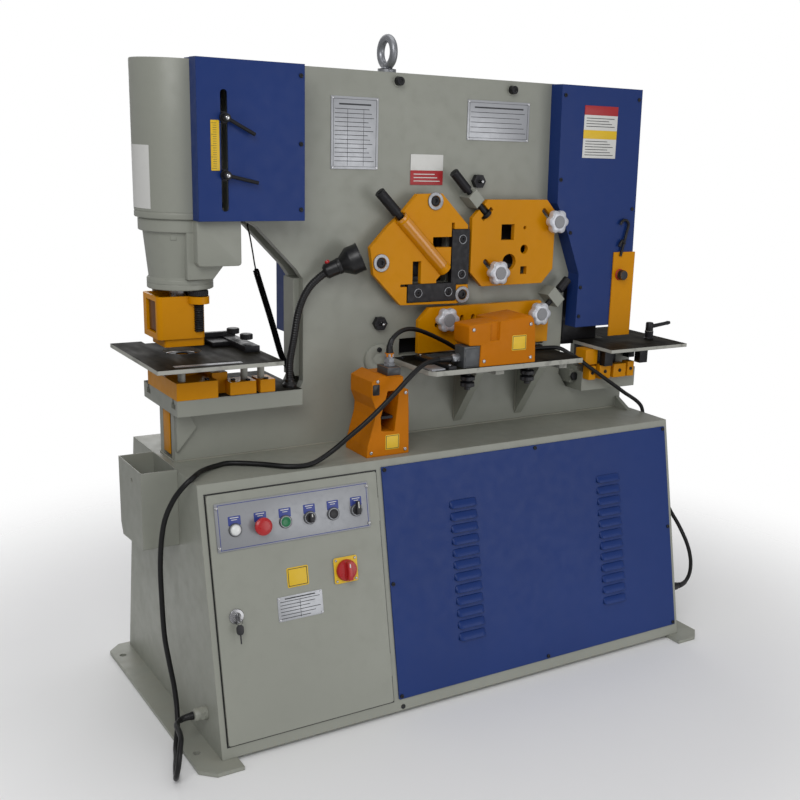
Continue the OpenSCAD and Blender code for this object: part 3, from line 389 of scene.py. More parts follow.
# the floor turns clear between the two distances from the middle
def fadeFloor(material, inner, outer):
    tree = material.node_tree
    out = next(n for n in tree.nodes if n.type == "OUTPUT_MATERIAL")
    surface = out.inputs["Surface"].links[0].from_socket
    flat = node(tree, "ShaderNodeVectorMath", operation="MULTIPLY")
    flat.inputs[1].default_value = (1, 1, 0)
    link(tree, node(tree, "ShaderNodeTexCoord").outputs["Object"], flat.inputs[0])
    far = node(tree, "ShaderNodeVectorMath", operation="LENGTH")
    link(tree, flat.outputs[0], far.inputs[0])
    fade = node(tree, "ShaderNodeMapRange", interpolation_type="SMOOTHSTEP")
    fade.inputs["From Min"].default_value = inner
    fade.inputs["From Max"].default_value = outer
    link(tree, far.outputs["Value"], fade.inputs["Value"])
    mix = node(tree, "ShaderNodeMixShader")
    link(tree, fade.outputs["Result"], mix.inputs[0])
    link(tree, surface, mix.inputs[1])
    link(tree, node(tree, "ShaderNodeBsdfTransparent").outputs[0], mix.inputs[2])
    link(tree, mix.outputs[0], out.inputs["Surface"])


def makeFloor(cfg):
    mesh = bpy.data.meshes.new("floor")
    half = cfg["half"]
    corners = [(-half, -half, 0), (half, -half, 0), (half, half, 0), (-half, half, 0)]
    mesh.from_pydata(corners, [], [(0, 1, 2, 3)])
    floor = bpy.data.objects.new("floor", mesh)
    scene.collection.objects.link(floor)
    mesh.materials.append(finish("floor_pale", floorFinish))
    fadeFloor(mesh.materials[0], cfg["fadeFrom"], cfg["fadeTo"])
    floor.location.z = -cfg["drop"]


makeFloor(floorSettings)

# finish of each CAD node
nodeFinish = {
    "frame_paint": "foot_bars cabinet cabinet_door side_tray machine_frame punch_head punch_bed notch_bed",
    "blue_paint": "rear_cover left_cover right_guard louvre_panel",
    "yellow_paint": "stripper_box die_holder angle_plate section_plate flat_plate guard_strip",
    "orange_paint": "pedal_a pedal_b",
    "machine_grey": "power_pack",
    "plate_steel": "control_plate",
    "white_lens": "signal_lamp",
    "red_plastic": "stop_button isolator_knob",
    "green_plastic": "start_button",
    "black_plastic": "jog_button selector_left selector_right",
    "chrome": "door_lock",
    "black_steel": "stop_slide_upper stop_lever_upper stop_slide_lower stop_lever_lower frame_bolts "
                   "punch_fence fixed_blades angle_handle section_screw notch_lever treadle_a "
                   "treadle_b stripper_screw",
    "label_plate": "name_plates",
    "bright_steel": "beam_rod punch_ram",
    "dark_steel": "shear_beam angle_pad",
    "table_steel": "punch_table shear_table notch_table",
    "silver_knob": "section_knob_a section_knob_b flat_knob_a flat_knob_b",
    "lamp_black": "work_lamp cable_stubs",
    "cord_rubber": "cord_a cord_b coil_cord",
}
for slotName, names in nodeFinish.items():
    for name in names.split():
        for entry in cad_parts[name].material_slots:
            entry.material = finishes[slotName]


# mesh building
# collects faces in millimetres, then makes one object of them in metres
class Build:
    def __init__(self):
        self.bm = bmesh.new()

    def place(self, verts, matrix):
        bmesh.ops.transform(self.bm, matrix=matrix, verts=verts)

    # outline in the plane across the axis, drawn out from y0 to y1
    def prism(self, outline, y0, y1, bevel=0.0, axis="y", matrix=None):
        make = {"y": lambda u, v, w: (u, w, v), "x": lambda u, v, w: (w, u, v),
                "z": lambda u, v, w: (u, v, w)}[axis]
        low = [self.bm.verts.new(make(u, v, y0)) for u, v in outline]
        high = [self.bm.verts.new(make(u, v, y1)) for u, v in outline]
        faces = [self.bm.faces.new(low), self.bm.faces.new(list(reversed(high)))]
        n = len(low)
        for i in range(n):
            faces.append(self.bm.faces.new((low[(i + 1) % n], low[i], high[i], high[(i + 1) % n])))
        bmesh.ops.recalc_face_normals(self.bm, faces=faces)
        verts = low + high
        if bevel > 0:
            edges = list({e for f in faces for e in f.edges})
            got = bmesh.ops.bevel(self.bm, geom=edges, offset=bevel, segments=2, affect="EDGES",
                                  profile=0.6, clamp_overlap=True)
            verts = list({v for f in got["faces"] for v in f.verts}
                         | {v for f in faces if f.is_valid for v in f.verts})
        if matrix is not None:
            self.place(verts, matrix)
        return verts

    def box(self, a, b, bevel=1.0, matrix=None):
        return self.prism([(a[0], a[2]), (b[0], a[2]), (b[0], b[2]), (a[0], b[2])], a[1], b[1],
                          bevel, "y", matrix)

    # rings of equal count, each a list of points, skinned in turn
    def loft(self, rings, matrix=None, caps=True):
        made = [[self.bm.verts.new(p) for p in ring] for ring in rings]
        n, faces = len(made[0]), []
        for a, b in zip(made, made[1:]):
            for k in range(n):
                faces.append(self.bm.faces.new((a[k], a[(k + 1) % n], b[(k + 1) % n], b[k])))
        if caps:
            faces.append(self.bm.faces.new(list(reversed(made[0]))))
            faces.append(self.bm.faces.new(made[-1]))
        bmesh.ops.recalc_face_normals(self.bm, faces=faces)
        verts = [v for ring in made for v in ring]
        if matrix is not None:
            self.place(verts, matrix)
        return verts

    # rows of radius, height and, where a ring isn't round, its shape and depth
    def spin(self, profile, sides, matrix=None, caps=True):
        return self.loft([ring(r, z, sides, *kind) for r, z, *kind in profile], matrix, caps)

    # a round tube along points, with one radius or one for each point
    def tube(self, points, radius, sides=12, caps=True):
        frames = sweepFrames(points)
        rings = []
        for i, (p, u, v) in enumerate(frames):
            r = radius[i] if isinstance(radius, (list, tuple)) else radius
            rings.append([self.bm.verts.new(p + r * (math.cos(2 * math.pi * k / sides) * u
                                                     + math.sin(2 * math.pi * k / sides) * v))
                          for k in range(sides)])
        faces = []
        for a, b in zip(rings, rings[1:]):
            for k in range(sides):
                faces.append(self.bm.faces.new((a[k], a[(k + 1) % sides], b[(k + 1) % sides], b[k])))
        if caps:
            faces.append(self.bm.faces.new(list(reversed(rings[0]))))
            faces.append(self.bm.faces.new(rings[-1]))
        bmesh.ops.recalc_face_normals(self.bm, faces=faces)
        return [v for ring in rings for v in ring]

    # the mesh as an object in metres that rides on nothing yet
    def bare(self, name, finishName, sharp=35):
        mesh = bpy.data.meshes.new(name)
        bmesh.ops.scale(self.bm, vec=(mm, mm, mm), verts=self.bm.verts)
        self.bm.to_mesh(mesh)
        self.bm.free()
        mesh.shade_smooth()
        mesh.set_sharp_from_angle(angle=math.radians(sharp))
        mesh.materials.append(finishes[finishName])
        obj = bpy.data.objects.new(name, mesh)
        scene.collection.objects.link(obj)
        return obj

    def make(self, name, finishName, body, slotName=None, sharp=35):
        obj = self.bare(name, finishName, sharp)
        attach(obj, body)
        return obj


def sweepFrames(points):
    pts = [Vector(p) for p in points]
    frames, u = [], None
    for i, p in enumerate(pts):
        t = (pts[min(i + 1, len(pts) - 1)] - pts[max(i - 1, 0)]).normalized()
        if u is None:
            u = t.cross(Vector((1, 0, 0) if abs(t.z) > 0.9 else (0, 0, 1))).normalized()
        u = (u - u.dot(t) * t).normalized()
        frames.append((p, u, t.cross(u)))
    return frames


def smoothRoute(points, steps):
    pts = [Vector(p) for p in points]
    out = []
    for i in range(len(pts) - 1):
        a, b, c, d = pts[max(i - 1, 0)], pts[i], pts[i + 1], pts[min(i + 2, len(pts) - 1)]
        for k in range(steps):
            t = k / steps
            out.append(0.5 * ((2 * b) + (c - a) * t + (2 * a - 5 * b + 4 * c - d) * t * t
                              + (3 * b - a - 3 * c + d) * t ** 3))
    return out + [pts[-1]]


def pathLength(points):
    return sum((b - a).length for a, b in zip(points, points[1:]))


# point on the sloping front: depth is negative outwards, s is up the slope
def onFront(x, depth, s):
    return Vector((x, frontFootY + depth * slopeCos + s * slopeSin, -depth * slopeSin + s * slopeCos))


frontTurn = Matrix.Rotation(-math.asin(slopeSin), 4, "X")
frontMatrix = Matrix.Translation((0, frontFootY, 0)) @ frontTurn
alongY = Matrix.Rotation(math.radians(90), 4, "X")


# one ring of points about Z: round, hexagon, ribbed or lobed
def ring(radius, z, sides=32, shape="round", depth=0.1, count=6):
    out = []
    for k in range(sides):
        a = 2 * math.pi * k / sides
        r = radius
        if shape == "hex":
            r = radius * math.cos(math.pi / 6) / math.cos(a % (math.pi / 3) - math.pi / 6)
        elif shape == "rib":
            r = radius - (depth if k % 2 else 0.0)
        elif shape == "lobe":
            r = radius * (1 - depth * (0.5 - 0.5 * math.cos(count * a)) ** 1.6)
        out.append((r * math.cos(a), r * math.sin(a), z))
    return out


# the given piece stands at every vertex, is made real and takes one finish
def scatterTree():
    tree = bpy.data.node_groups.new("scatterPieces", "GeometryNodeTree")
    face = tree.interface
    face.new_socket(name="Geometry", in_out="INPUT", socket_type="NodeSocketGeometry")
    pieceSock = face.new_socket(name="Piece", in_out="INPUT", socket_type="NodeSocketObject")
    finishSock = face.new_socket(name="Finish", in_out="INPUT", socket_type="NodeSocketMaterial")
    face.new_socket(name="Geometry", in_out="OUTPUT", socket_type="NodeSocketGeometry")
    gin, gout = tree.nodes.new("NodeGroupInput"), tree.nodes.new("NodeGroupOutput")
    info = tree.nodes.new("GeometryNodeObjectInfo")
    put = tree.nodes.new("GeometryNodeInstanceOnPoints")
    real = tree.nodes.new("GeometryNodeRealizeInstances")
    paint = tree.nodes.new("GeometryNodeSetMaterial")
    tree.links.new(gin.outputs["Piece"], info.inputs["Object"])
    tree.links.new(gin.outputs["Geometry"], put.inputs["Points"])
    tree.links.new(info.outputs["Geometry"], put.inputs["Instance"])
    tree.links.new(put.outputs["Instances"], real.inputs["Geometry"])
    tree.links.new(real.outputs["Geometry"], paint.inputs["Geometry"])
    tree.links.new(gin.outputs["Finish"], paint.inputs["Material"])
    tree.links.new(paint.outputs["Geometry"], gout.inputs["Geometry"])
    return tree, pieceSock.identifier, finishSock.identifier


scatterNodes, scatterPiece, scatterFinish = scatterTree()


# copies of one small mesh at places, as one object on a body
def scatter(name, build, places, finishName, body):
    piece = build.bare(name + "Piece", finishName)
    mesh = bpy.data.meshes.new(name + "Places")
    mesh.from_pydata([tuple(c * mm for c in p) for p in places], [], [])
    host = bpy.data.objects.new(name, mesh)
    scene.collection.objects.link(host)
    mod = host.modifiers.new("scatter", "NODES")
    mod.node_group = scatterNodes
    mod[scatterPiece] = piece
    mod[scatterFinish] = finishes[finishName]
    bpy.context.view_layer.update()
    real = bpy.data.meshes.new_from_object(host.evaluated_get(bpy.context.evaluated_depsgraph_get()))
    host.modifiers.remove(mod)
    host.data = real
    bpy.data.meshes.remove(mesh)
    bpy.data.objects.remove(piece)
    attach(host, body)
    return host


# takes +Z to the way from start to end, with the origin at start
def aimed(start, end):
    d = Vector(end) - Vector(start)
    return Matrix.Translation(Vector(start)) @ d.to_track_quat("Z", "X").to_matrix().to_4x4()


# cords
cableLeft = [
    (-784.3, -265, 92), (-790, -265, 92), (-796, -265, 92), (-812, -268, 92), (-828, -280, 93),
    (-837, -298, 95), (-841, -325, 97), (-848, -360, 97), (-857, -382, 91), (-866, -400, 75),
    (-873, -409, 52), (-876, -405, 30), (-873, -391, 14), (-866, -370, 8), (-853, -330, 8),
    (-838, -290, 8), (-827, -255, 9), (-815, -228, 23), (-804, -205, 46), (-798, -185, 82),
    (-797, -166, 130), (-802, -150, 190), (-809, -142, 260), (-812, -140, 357), (-812, -140, 462),
    (-807, -160, 560), (-793, -190, 626), (-772, -207, 664), (-748, -205, 682), (-722, -175, 683),
    (-696, -148, 681), (-660, -125, 679), (-620, -117, 679), (-556, -157, 679), (-500, -207, 679),
    (-445, -216, 680), (-390, -210, 700), (-340, -224, 742), (-290, -238, 786), (-220, -246, 850),
    (-172, -246, 893), (-128, -236, 917), (-84, -227, 922), (-64, -226, 922), (-54, -226, 922),
    (-44.3, -226, 922)]
cableRight = [
    (776.3, -328, 150), (782, -328, 150), (788, -328, 150), (802, -328, 155), (814, -329, 170),
    (820, -330, 192), (819, -330, 222), (811, -329, 254), (799, -326, 286), (791, -312, 316),
    (790, -286, 343), (789, -250, 374), (787, -215, 415), (784, -180, 475), (779, -150, 545),
    (772, -127, 610), (764, -118, 652), (754, -118, 684), (732, -121, 705), (700, -127, 724),
    (661, -137, 744), (627, -139, 765), (590, -139, 788), (550, -139, 813), (505, -139, 841),
    (470, -138, 864), (432, -137, 885), (395, -133, 903), (355, -126, 906), (300, -121, 905.5),
    (220, -121, 905.5), (130, -121, 907), (60, -121, 918), (5, -121, 946), (-55, -124, 974),
    (-110, -142, 992), (-156, -160, 993), (-187, -168, 976), (-196, -168, 956), (-196, -168, 948),
    (-196, -168, 939.3)]
coilLine = [
    (-524, -18, 1263.3), (-524, -18, 1254), (-518, -18, 1230), (-511, -18, 1190),
    (-504, -18, 1150), (-489, -18, 1100), (-472, -18, 1046), (-455, -18, 990), (-434, -18, 920),
    (-411, -18, 880), (-404, -18, 850), (-404, -18, 834), (-404, -18, 820), (-404, -18, 805.02)]


def makeCable(name, points, diameter, cadNode, steps=6):
    line = smoothRoute(points, steps)
    build = Build()
    build.tube(line, diameter / 2, 14)
    obj = build.make(name, "cord_rubber", "frame")
    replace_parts(obj, cadNode)
    return obj


makeCable("cableLeft", cableLeft, 13, "cord_a")
makeCable("cableRight", cableRight, 12, "cord_b")

coilSettings = {"wire": 4.0, "radius": 6.4, "pitch": 4.3, "perTurn": 12, "first": 4, "last": 11, "steps": 8}


# straight lead in, close helix along the middle of the line, straight lead out
def makeCoilCord(cfg):
    line = smoothRoute(coilLine, cfg["steps"])
    first, last = cfg["first"] * cfg["steps"], cfg["last"] * cfg["steps"]
    head, middle, tail = line[:first + 1], line[first:last + 1], line[last:]
    total = pathLength(middle)
    turns = int(total / cfg["pitch"])
    frames = sweepFrames(middle)
    lengths = [0.0]
    for a, b in zip(middle, middle[1:]):
        lengths.append(lengths[-1] + (b - a).length)
    path, index = list(head[:-1]), 0
    count = turns * cfg["perTurn"]
    for i in range(count + 1):
        d = total * i / count
        while index < len(lengths) - 2 and lengths[index + 1] < d:
            index += 1
        t = (d - lengths[index]) / max(1e-6, lengths[index + 1] - lengths[index])
        p = frames[index][0].lerp(frames[index + 1][0], t)
        u = frames[index][1].lerp(frames[index + 1][1], t)
        v = frames[index][2].lerp(frames[index + 1][2], t)
        grow = min(1.0, i / cfg["perTurn"], (count - i) / cfg["perTurn"])
        a = 2 * math.pi * i / cfg["perTurn"]
        path.append(p + cfg["radius"] * grow * (math.cos(a) * u + math.sin(a) * v))
    path += tail[1:]
    build = Build()
    build.tube(path, cfg["wire"] / 2, 8)
    obj = build.make("coilLead", "coil_black", "frame", "cord_rubber")
    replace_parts(obj, "coil_cord")
    return obj


makeCoilCord(coilSettings)
print("cords laid")


# small parts used in many places
turnFront = frontTurn @ alongY
upright = Matrix.Identity(4)


# round screw head with a hexagon socket, its seat at the origin
def socketHead(radius, height, turn=alongY):
    socket, floor = radius * 0.46, height * 0.35
    build = Build()
    build.spin([(radius, 0), (radius, height * 0.6), (radius * 0.94, height * 0.86), (radius * 0.8, height),
                (socket, height, "hex"), (socket, floor, "hex")], 24, turn)
    return build


# plain round ring with eased edges
def ringHead(outer, inner, height, turn=alongY):
    ease = min(0.8, height * 0.3)
    build = Build()
    build.spin([(inner, 0), (outer, 0), (outer, height - ease), (outer - ease, height),
                (inner + ease, height), (inner, height - ease), (inner, 0)], 32, turn, caps=False)
    return build


def roundedOutline(a, b, r, steps=5):
    out = []
    for cx, cz, start in ((b[0] - r, b[1] - r, 0), (a[0] + r, b[1] - r, 90),
                          (a[0] + r, a[1] + r, 180), (b[0] - r, a[1] + r, 270)):
        for k in range(steps + 1):
            t = math.radians(start + 90 * k / steps)
            out.append((cx + r * math.cos(t), cz + r * math.sin(t)))
    return out


def plate(build, a, b, y0, y1, r, bevel=0.3, matrix=None):
    build.prism(roundedOutline(a, b, r), y0, y1, bevel, "y", matrix)


# four thin strips round a rectangle
def borderStrips(build, a, b, width, y0, y1, matrix=None):
    for p, q in (((a[0], a[1]), (b[0], a[1] + width)), ((a[0], b[1] - width), (b[0], b[1])),
                 ((a[0], a[1] + width), (a[0] + width, b[1] - width)),
                 ((b[0] - width, a[1] + width), (b[0], b[1] - width))):
        build.box((p[0], y0, p[1]), (q[0], y1, q[1]), 0, matrix)


# one object from boxes, each a low corner, a high corner and the size of its eased edges
def boxPiece(name, boxes, finishName, body, slotName=None, matrix=None):
    build = Build()
    for low, high, ease in boxes:
        build.box(low, high, ease, matrix)
    return build.make(name, finishName, body, slotName)


# one object turned about the matrix's own Z
def turnedPiece(name, profile, sides, matrix, finishName, body, slotName=None, caps=True):
    build = Build()
    build.spin(profile, sides, matrix, caps)
    return build.make(name, finishName, body, slotName)


# rounded plate on the door, between two depths before the front
def doorPlate(name, a, b, depths, corner, ease, finishName, slotName=None):
    build = Build()
    plate(build, a, b, *depths, corner, ease, frontMatrix)
    build.make(name, finishName, "door", slotName)


def doorBorder(name, a, b, width, depths, finishName, slotName, body="door"):
    build = Build()
    borderStrips(build, a, b, width, *depths, frontMatrix)
    build.make(name, finishName, body, slotName)


def doorScrews(name, head, depth, columns, rows, finishName):
    scatter(name, head, [onFront(x, depth, s) for x in columns for s in rows], finishName, "door")


# vent panel
louvreSettings = {"columns": (-14, 500), "count": 12, "first": 166, "pitch": 33.4, "half": 43.5,
                  "endRound": 11.0, "stations": 17}
louvreProfile = [(-4.0, 15.0), (-6.2, 12.4), (-8.8, 8.0), (-11.2, 2.0), (-12.9, -4.4), (-12.6, -7.4),
                 (-10.9, -7.6), (-9.2, -3.4), (-4.1, 4.4)]  # depth and height of one louvre's section
ventScrews = [(-248, 658), (-248, 354), (-248, 50), (241, 658), (241, 50), (730, 658), (730, 354),
              (730, 50)]


def makeLouvre(cfg):
    build, rings = Build(), []
    for i in range(cfg["stations"]):
        t = -math.cos(math.pi * i / (cfg["stations"] - 1))
        x = t * cfg["half"]
        over = max(0.0, abs(x) - (cfg["half"] - cfg["endRound"])) / cfg["endRound"]
        k = max(0.04, math.sqrt(max(0.0, 1 - over * over)))
        rings.append([(x, -4 + (y + 4) * k, 4 + (s - 4) * (0.55 + 0.45 * k)) for y, s in louvreProfile])
    build.loft(rings, frontTurn)
    return build


louvrePlaces = [onFront(x, 0, louvreSettings["first"] + i * louvreSettings["pitch"])
                for x in louvreSettings["columns"] for i in range(louvreSettings["count"])]
scatter("ventLouvres", makeLouvre(louvreSettings), louvrePlaces, "blue_paint", "frame")
scatter("ventScrews", socketHead(5.5, 3.4, turnFront), [onFront(x, -4, s) for x, s in ventScrews],
        "black_steel", "frame")

# door, a dark strip round it that is painted shade in its gap, and its plates, with the depths between which
# each layer lies
layers = {"gapShade": (-1.2, 0.4), "isolator": (-10.2, -8.9), "control": (-8.5, -8.0), "border": (-8.75, -8.4),
          "tag": (-9.0, -8.4), "tagMark": (-9.2, -8.9), "sign": (-6.9, -6.1), "signEdge": (-7.15, -6.8),
          "plate": (-7.0, -6.1), "line": (-7.2, -6.9)}
controlFace, isolatorFace, doorPlateFace = -8.4, -10.2, -7
tagSettings = {"half": 16, "low": 578, "high": 601, "mark": ((596, 598), (591, 592.6))}
# dark strip round the door's edge: painted shade in the gap between door and cabinet
doorBorder("doorSeal", (-735.5, 38.5), (-270.5, 661.5), 3.4, layers["gapShade"], "lamp_black", None, "frame")
doorPlate("isolatorPlate", (-417.5, 385.5), (-350.5, 452.5), layers["isolator"], 6, 0.4, "tag_yellow",
          "yellow_paint")
doorPlate("controlFace", (-715.5, 517.5), (-302.5, 635.5), layers["control"], 5, 0.1, "plate_steel")
doorBorder("controlBorder", (-708, 521), (-307, 632), 1.5, layers["border"], "tag_blue", "blue_paint")
doorScrews("controlScrews", socketHead(4.2, 2.4, turnFront), controlFace, (-711.5, -306.5), (528, 625),
           "bright_steel")
build = Build()
for x in buttonX:
    low, high = (x - tagSettings["half"], tagSettings["low"]), (x + tagSettings["half"], tagSettings["high"])
    plate(build, low, high, *layers["tag"], 2, 0.2, frontMatrix)
build.make("buttonTags", "tag_blue", "door", "blue_paint")
tagMarks = []
front, back = layers["tagMark"]
for i, x in enumerate(buttonX):
    for (low, high), left, right in zip(tagSettings["mark"], (x - 11, x - 8 + i % 3), (x + 11, x + 7)):
        tagMarks.append(((left, front, low), (right, back, high), 0))
boxPiece("buttonTagMarks", tagMarks, "tag_white", "door", "label_plate", frontMatrix)
doorScrews("buttonBezels", ringHead(16.6, 12.7, 3.6, turnFront), controlFace, buttonX, (buttonS,),
           "machine_grey")
doorPlate("doorSign", (-545, 400), (-487, 450), layers["sign"], 4, 0.2, "tag_yellow", "yellow_paint")
doorBorder("doorSignEdge", (-542, 403), (-490, 447), 1.6, layers["signEdge"], "ink", "black_plastic")
doorPlate("doorPlate", (-576, 319), (-454, 381), layers["plate"], 3, 0.2, "label_plate")
doorLines = {"rows": 6, "pitch": 8.4, "top": 367, "thick": 1.6, "left": -569, "right": -461, "shorter": 14}
front, back = layers["line"]
rowBoxes = []
for i in range(doorLines["rows"]):
    z = doorLines["top"] - i * doorLines["pitch"]
    right = doorLines["right"] - (i % 3) * doorLines["shorter"]
    rowBoxes.append(((doorLines["left"], front, z), (right, back, z + doorLines["thick"]), 0))
rowBoxes += [((-556, front, 373), (-474, back, 376), 0), ((-516, front, 323), (-515, back, 369), 0)]
boxPiece("doorPlateLines", rowBoxes, "ink", "door", "black_plastic", frontMatrix)
doorScrews("doorPlateRivets", socketHead(2.4, 1.2, turnFront), doorPlateFace, (-572, -458), (323, 377),
           "chrome")

# lamp, buttons, selectors, isolator and lock: each profile is radius and height out of the plate
pressCap = [(11, -14), (12.5, 0), (12.5, 5.4), (12, 6.2), (10.8, 6.5), (10, 6.0), (3, 5.9)]
controls = [
    {"name": "signalLens", "at": 0, "finish": "white_lens", "body": "door", "node": "signal_lamp",
     "profile": [(11, -14), (12.6, 4.6), (12.4, 7.0), (10.8, 9.2), (7.5, 10.8), (3, 11.5)]},
    {"name": "stopMushroom", "at": 1, "finish": "red_plastic", "body": "stop_button", "node": "stop_button",
     "profile": [(11, -14), (11, 12.4), (19.6, 13.2), (21.8, 15), (22.4, 18), (21.8, 21), (19.2, 23.4),
                 (13, 25), (5, 25.4)]},
    {"name": "startCap", "at": 2, "finish": "green_plastic", "body": "start_button", "node": "start_button",
     "profile": pressCap},
    {"name": "jogCap", "at": 4, "finish": "black_plastic", "body": "jog_button", "node": "jog_button",
     "profile": pressCap},
]
plateBack = -8  # the controls' profiles start from here
handleDepths, markDepths = (-25, -15), (-25.5, -24.8)
selectorBase = [(11, -14), (12.5, 0), (12.5, 7.0), (11.6, 8.2), (3, 8.4)]
selectors = [
    {"body": "selector_left", "name": "selectorleft", "at": 3, "up": 12, "down": 10},
    {"body": "selector_right", "name": "selectorright", "at": 5, "up": 24, "down": 10},
]


# rings about the outward normal of the front
def turned(profile, x, depth, s):
    build = Build()
    build.spin(profile, 36, Matrix.Translation(onFront(x, depth, s)) @ turnFront)
    return build


def makeSelector(cfg):
    x, up, down = buttonX[cfg["at"]], cfg["up"], cfg["down"]
    build = turned(selectorBase, x, plateBack, buttonS)
    build.prism([(x - 5, buttonS - down), (x + 5, buttonS - down), (x + 6, buttonS),
                 (x + 4, buttonS + up), (x - 4, buttonS + up), (x - 6, buttonS)],
                *handleDepths, 1.2, "y", frontMatrix)
    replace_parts(build.make(cfg["name"] + "Cap", "black_plastic", cfg["body"]), cfg["body"])
    front, back = markDepths
    low, high = (x - 1.3, front, buttonS + up * 0.25), (x + 1.3, back, buttonS + up - 1.5)
    boxPiece(cfg["name"] + "Mark", [(low, high, 0.2)], "tag_white", cfg["body"], "label_plate", frontMatrix)


for cfg in controls:
    build = turned(cfg["profile"], buttonX[cfg["at"]], plateBack, buttonS)
    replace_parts(build.make(cfg["name"], cfg["finish"], cfg["body"]), cfg["node"])
for cfg in selectors:
    makeSelector(cfg)
knob = turned([(8, -18), (8, 0.5), (26.4, 1.2), (28.2, 3), (27.6, 9), (25.6, 12.4), (19, 14), (5, 14.4)],
              -384, -9, 418)
knob.prism([(-391, 394), (-377, 394), (-378.4, 418), (-377.6, 442), (-390.4, 442), (-389.6, 418)],
           -37, -19, 1.6, "y", frontMatrix)
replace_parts(knob.make("isolatorGrip", "red_plastic", "isolator_knob"), "isolator_knob")
boxPiece("isolatorMark", [((-385.6, -37.5, 427), (-382.4, -36.8, 437), 0.3)], "tag_white", "isolator_knob",
         "label_plate", frontMatrix)
doorScrews("isolatorScrews", socketHead(3.4, 1.8, turnFront), isolatorFace, (-411, -357), (392, 446),
           "bright_steel")

keySettings = {"x": -684, "ringY": -24, "ringZ": 346, "ringRadius": 8, "wire": 0.7, "steps": 16}
swapYZ = Matrix(((1, 0, 0, 0), (0, 0, 1, 0), (0, 1, 0, 0), (0, 0, 0, 1)))
lock = turned([(9, -20), (9, 0.2), (18.4, 0.4), (18.8, 2), (17.4, 3.8), (10.4, 4.6), (9, 7.8), (8.2, 8.6),
               (3, 8.8)], keySettings["x"], -6, 357)
lock.box((-685.1, -20, 352), (-682.9, -12, 362), 0.4, frontMatrix)
lock.prism(roundedOutline((347, -34), (367, -18), 6), -685.2, -682.8, 0.4, "x", frontMatrix @ swapYZ)
lock.box((-698, 22, 353), (-664, 26, 361), 0.6, frontMatrix)
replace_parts(lock.make("lockWithKey", "bright_steel", "door_lock", "chrome"), "door_lock")


def keyRing(cfg):
    points = []
    for i in range(cfg["steps"] + 1):
        a = 2 * math.pi * i / cfg["steps"]
        points.append(frontMatrix @ Vector((cfg["x"] + cfg["ringRadius"] * math.sin(a), cfg["ringY"],
                                            cfg["ringZ"] + cfg["ringRadius"] * math.cos(a))))
    return points


build = Build()
build.tube(keyRing(keySettings), keySettings["wire"], 8)
build.box((-685.4, -25.5, 292), (-682.6, -22.5, 318), 0.4, frontMatrix)
build.make("spareKey", "dark_steel", "door_lock", "chrome")
build = Build()
plate(build, (-693, 314), (-675, 339), -26, -22, 8, 0.6, frontMatrix)
build.make("spareKeyBow", "black_plastic", "door_lock", "chrome")
print("door dressed")

# weld seams, rail plug and the cables' glands
weldSettings = {"step": 4.0, "ripple": 0.5}
weldLines = [((-728, -31.5, 673), (732, -31.5, 673), 3.2), ((-731, -28, 673), (-731, 78, 673), 3.0),
             ((736, -28, 673), (736, 78, 673), 3.0), ((-728, 81.5, 673), (732, 81.5, 673), 3.2)]
weldLines += [((x, -31.5, 700), (x, -31.5, 866), 2.4) for x in (99, 127, 317, 345)]
weldLines.append(((-579.5, -31, 1282), (-546, -31, 1281), 2.4))


def weldBead(build, a, b, radius, cfg):
    a, b = Vector(a), Vector(b)
    n = max(4, int((b - a).length / cfg["step"]))
    points = [a.lerp(b, i / n) for i in range(n + 1)]
    build.tube(points, [radius + cfg["ripple"] * (i % 2) for i in range(n + 1)], 8)


build = Build()
for start, end, radius in weldLines:
    weldBead(build, start, end, radius, weldSettings)
build.make("weldSeams", "weld", "frame", "frame_paint", 60)
turnedPiece("railPlug", [(6.5, 0), (6.5, 0.8), (5.2, 1.0), (4.4, 0.4)], 24,
            Matrix.Translation(onFront(-244, 0, 20)) @ turnFront, "lamp_black", "frame")
glandLeft = Matrix.Translation((-750, -265, 92)) @ Matrix.Rotation(math.radians(-90), 4, "Y")
build = Build()
build.spin([(17.5, 0), (17.5, 9)], 24, glandLeft)
build.spin([(19, 9, "hex"), (19, 19, "hex")], 24, glandLeft)
build.spin([(16.8, 19), (16.8, 27), (14, 32), (8, 34)], 24, glandLeft)
leftGland = build.make("glandLeft", "frame_paint", "frame")
glandRight = Matrix.Translation((750, -328, 150)) @ Matrix.Rotation(math.radians(90), 4, "Y")
build = Build()
build.spin([(13, 0, "hex"), (13, 9, "hex")], 24, glandRight)
build.spin([(11.6, 9), (11.6, 18), (9, 24), (7, 26)], 24, glandRight)
build.make("glandRight", "lamp_black", "frame")
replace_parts(leftGland, "cable_stubs")


boots = [("bootLeft", cableLeft[:6], 34, 10, 7.2), ("bootRight", cableRight[:6], 30, 9, 6.6),
         ("bootPedalA", cableLeft[:-6:-1], 34, 9.5, 7.2), ("bootPedalB", cableRight[:-6:-1], 34, 9.5, 6.6)]
bootSettings = {"steps": 8, "rib": 0.7, "sides": 14}


# ribbed strain relief that tapers along the start of a cable
def makeBoot(name, route, length, big, small, cfg):
    line = smoothRoute(route, cfg["steps"])
    points, run = [line[0]], 0.0
    for p, q in zip(line, line[1:]):
        if run > length:
            break
        run += (q - p).length
        points.append(q)
    n = len(points) - 1
    build = Build()
    radii = [big + (small - big) * i / n + (cfg["rib"] if i % 2 else 0) for i in range(n + 1)]
    build.tube(points, radii, cfg["sides"])
    build.make(name, "lamp_black", "frame", "cord_rubber")


for name, route, length, big, small in boots:
    makeBoot(name, route, length, big, small, bootSettings)
print("cabinet dressed")

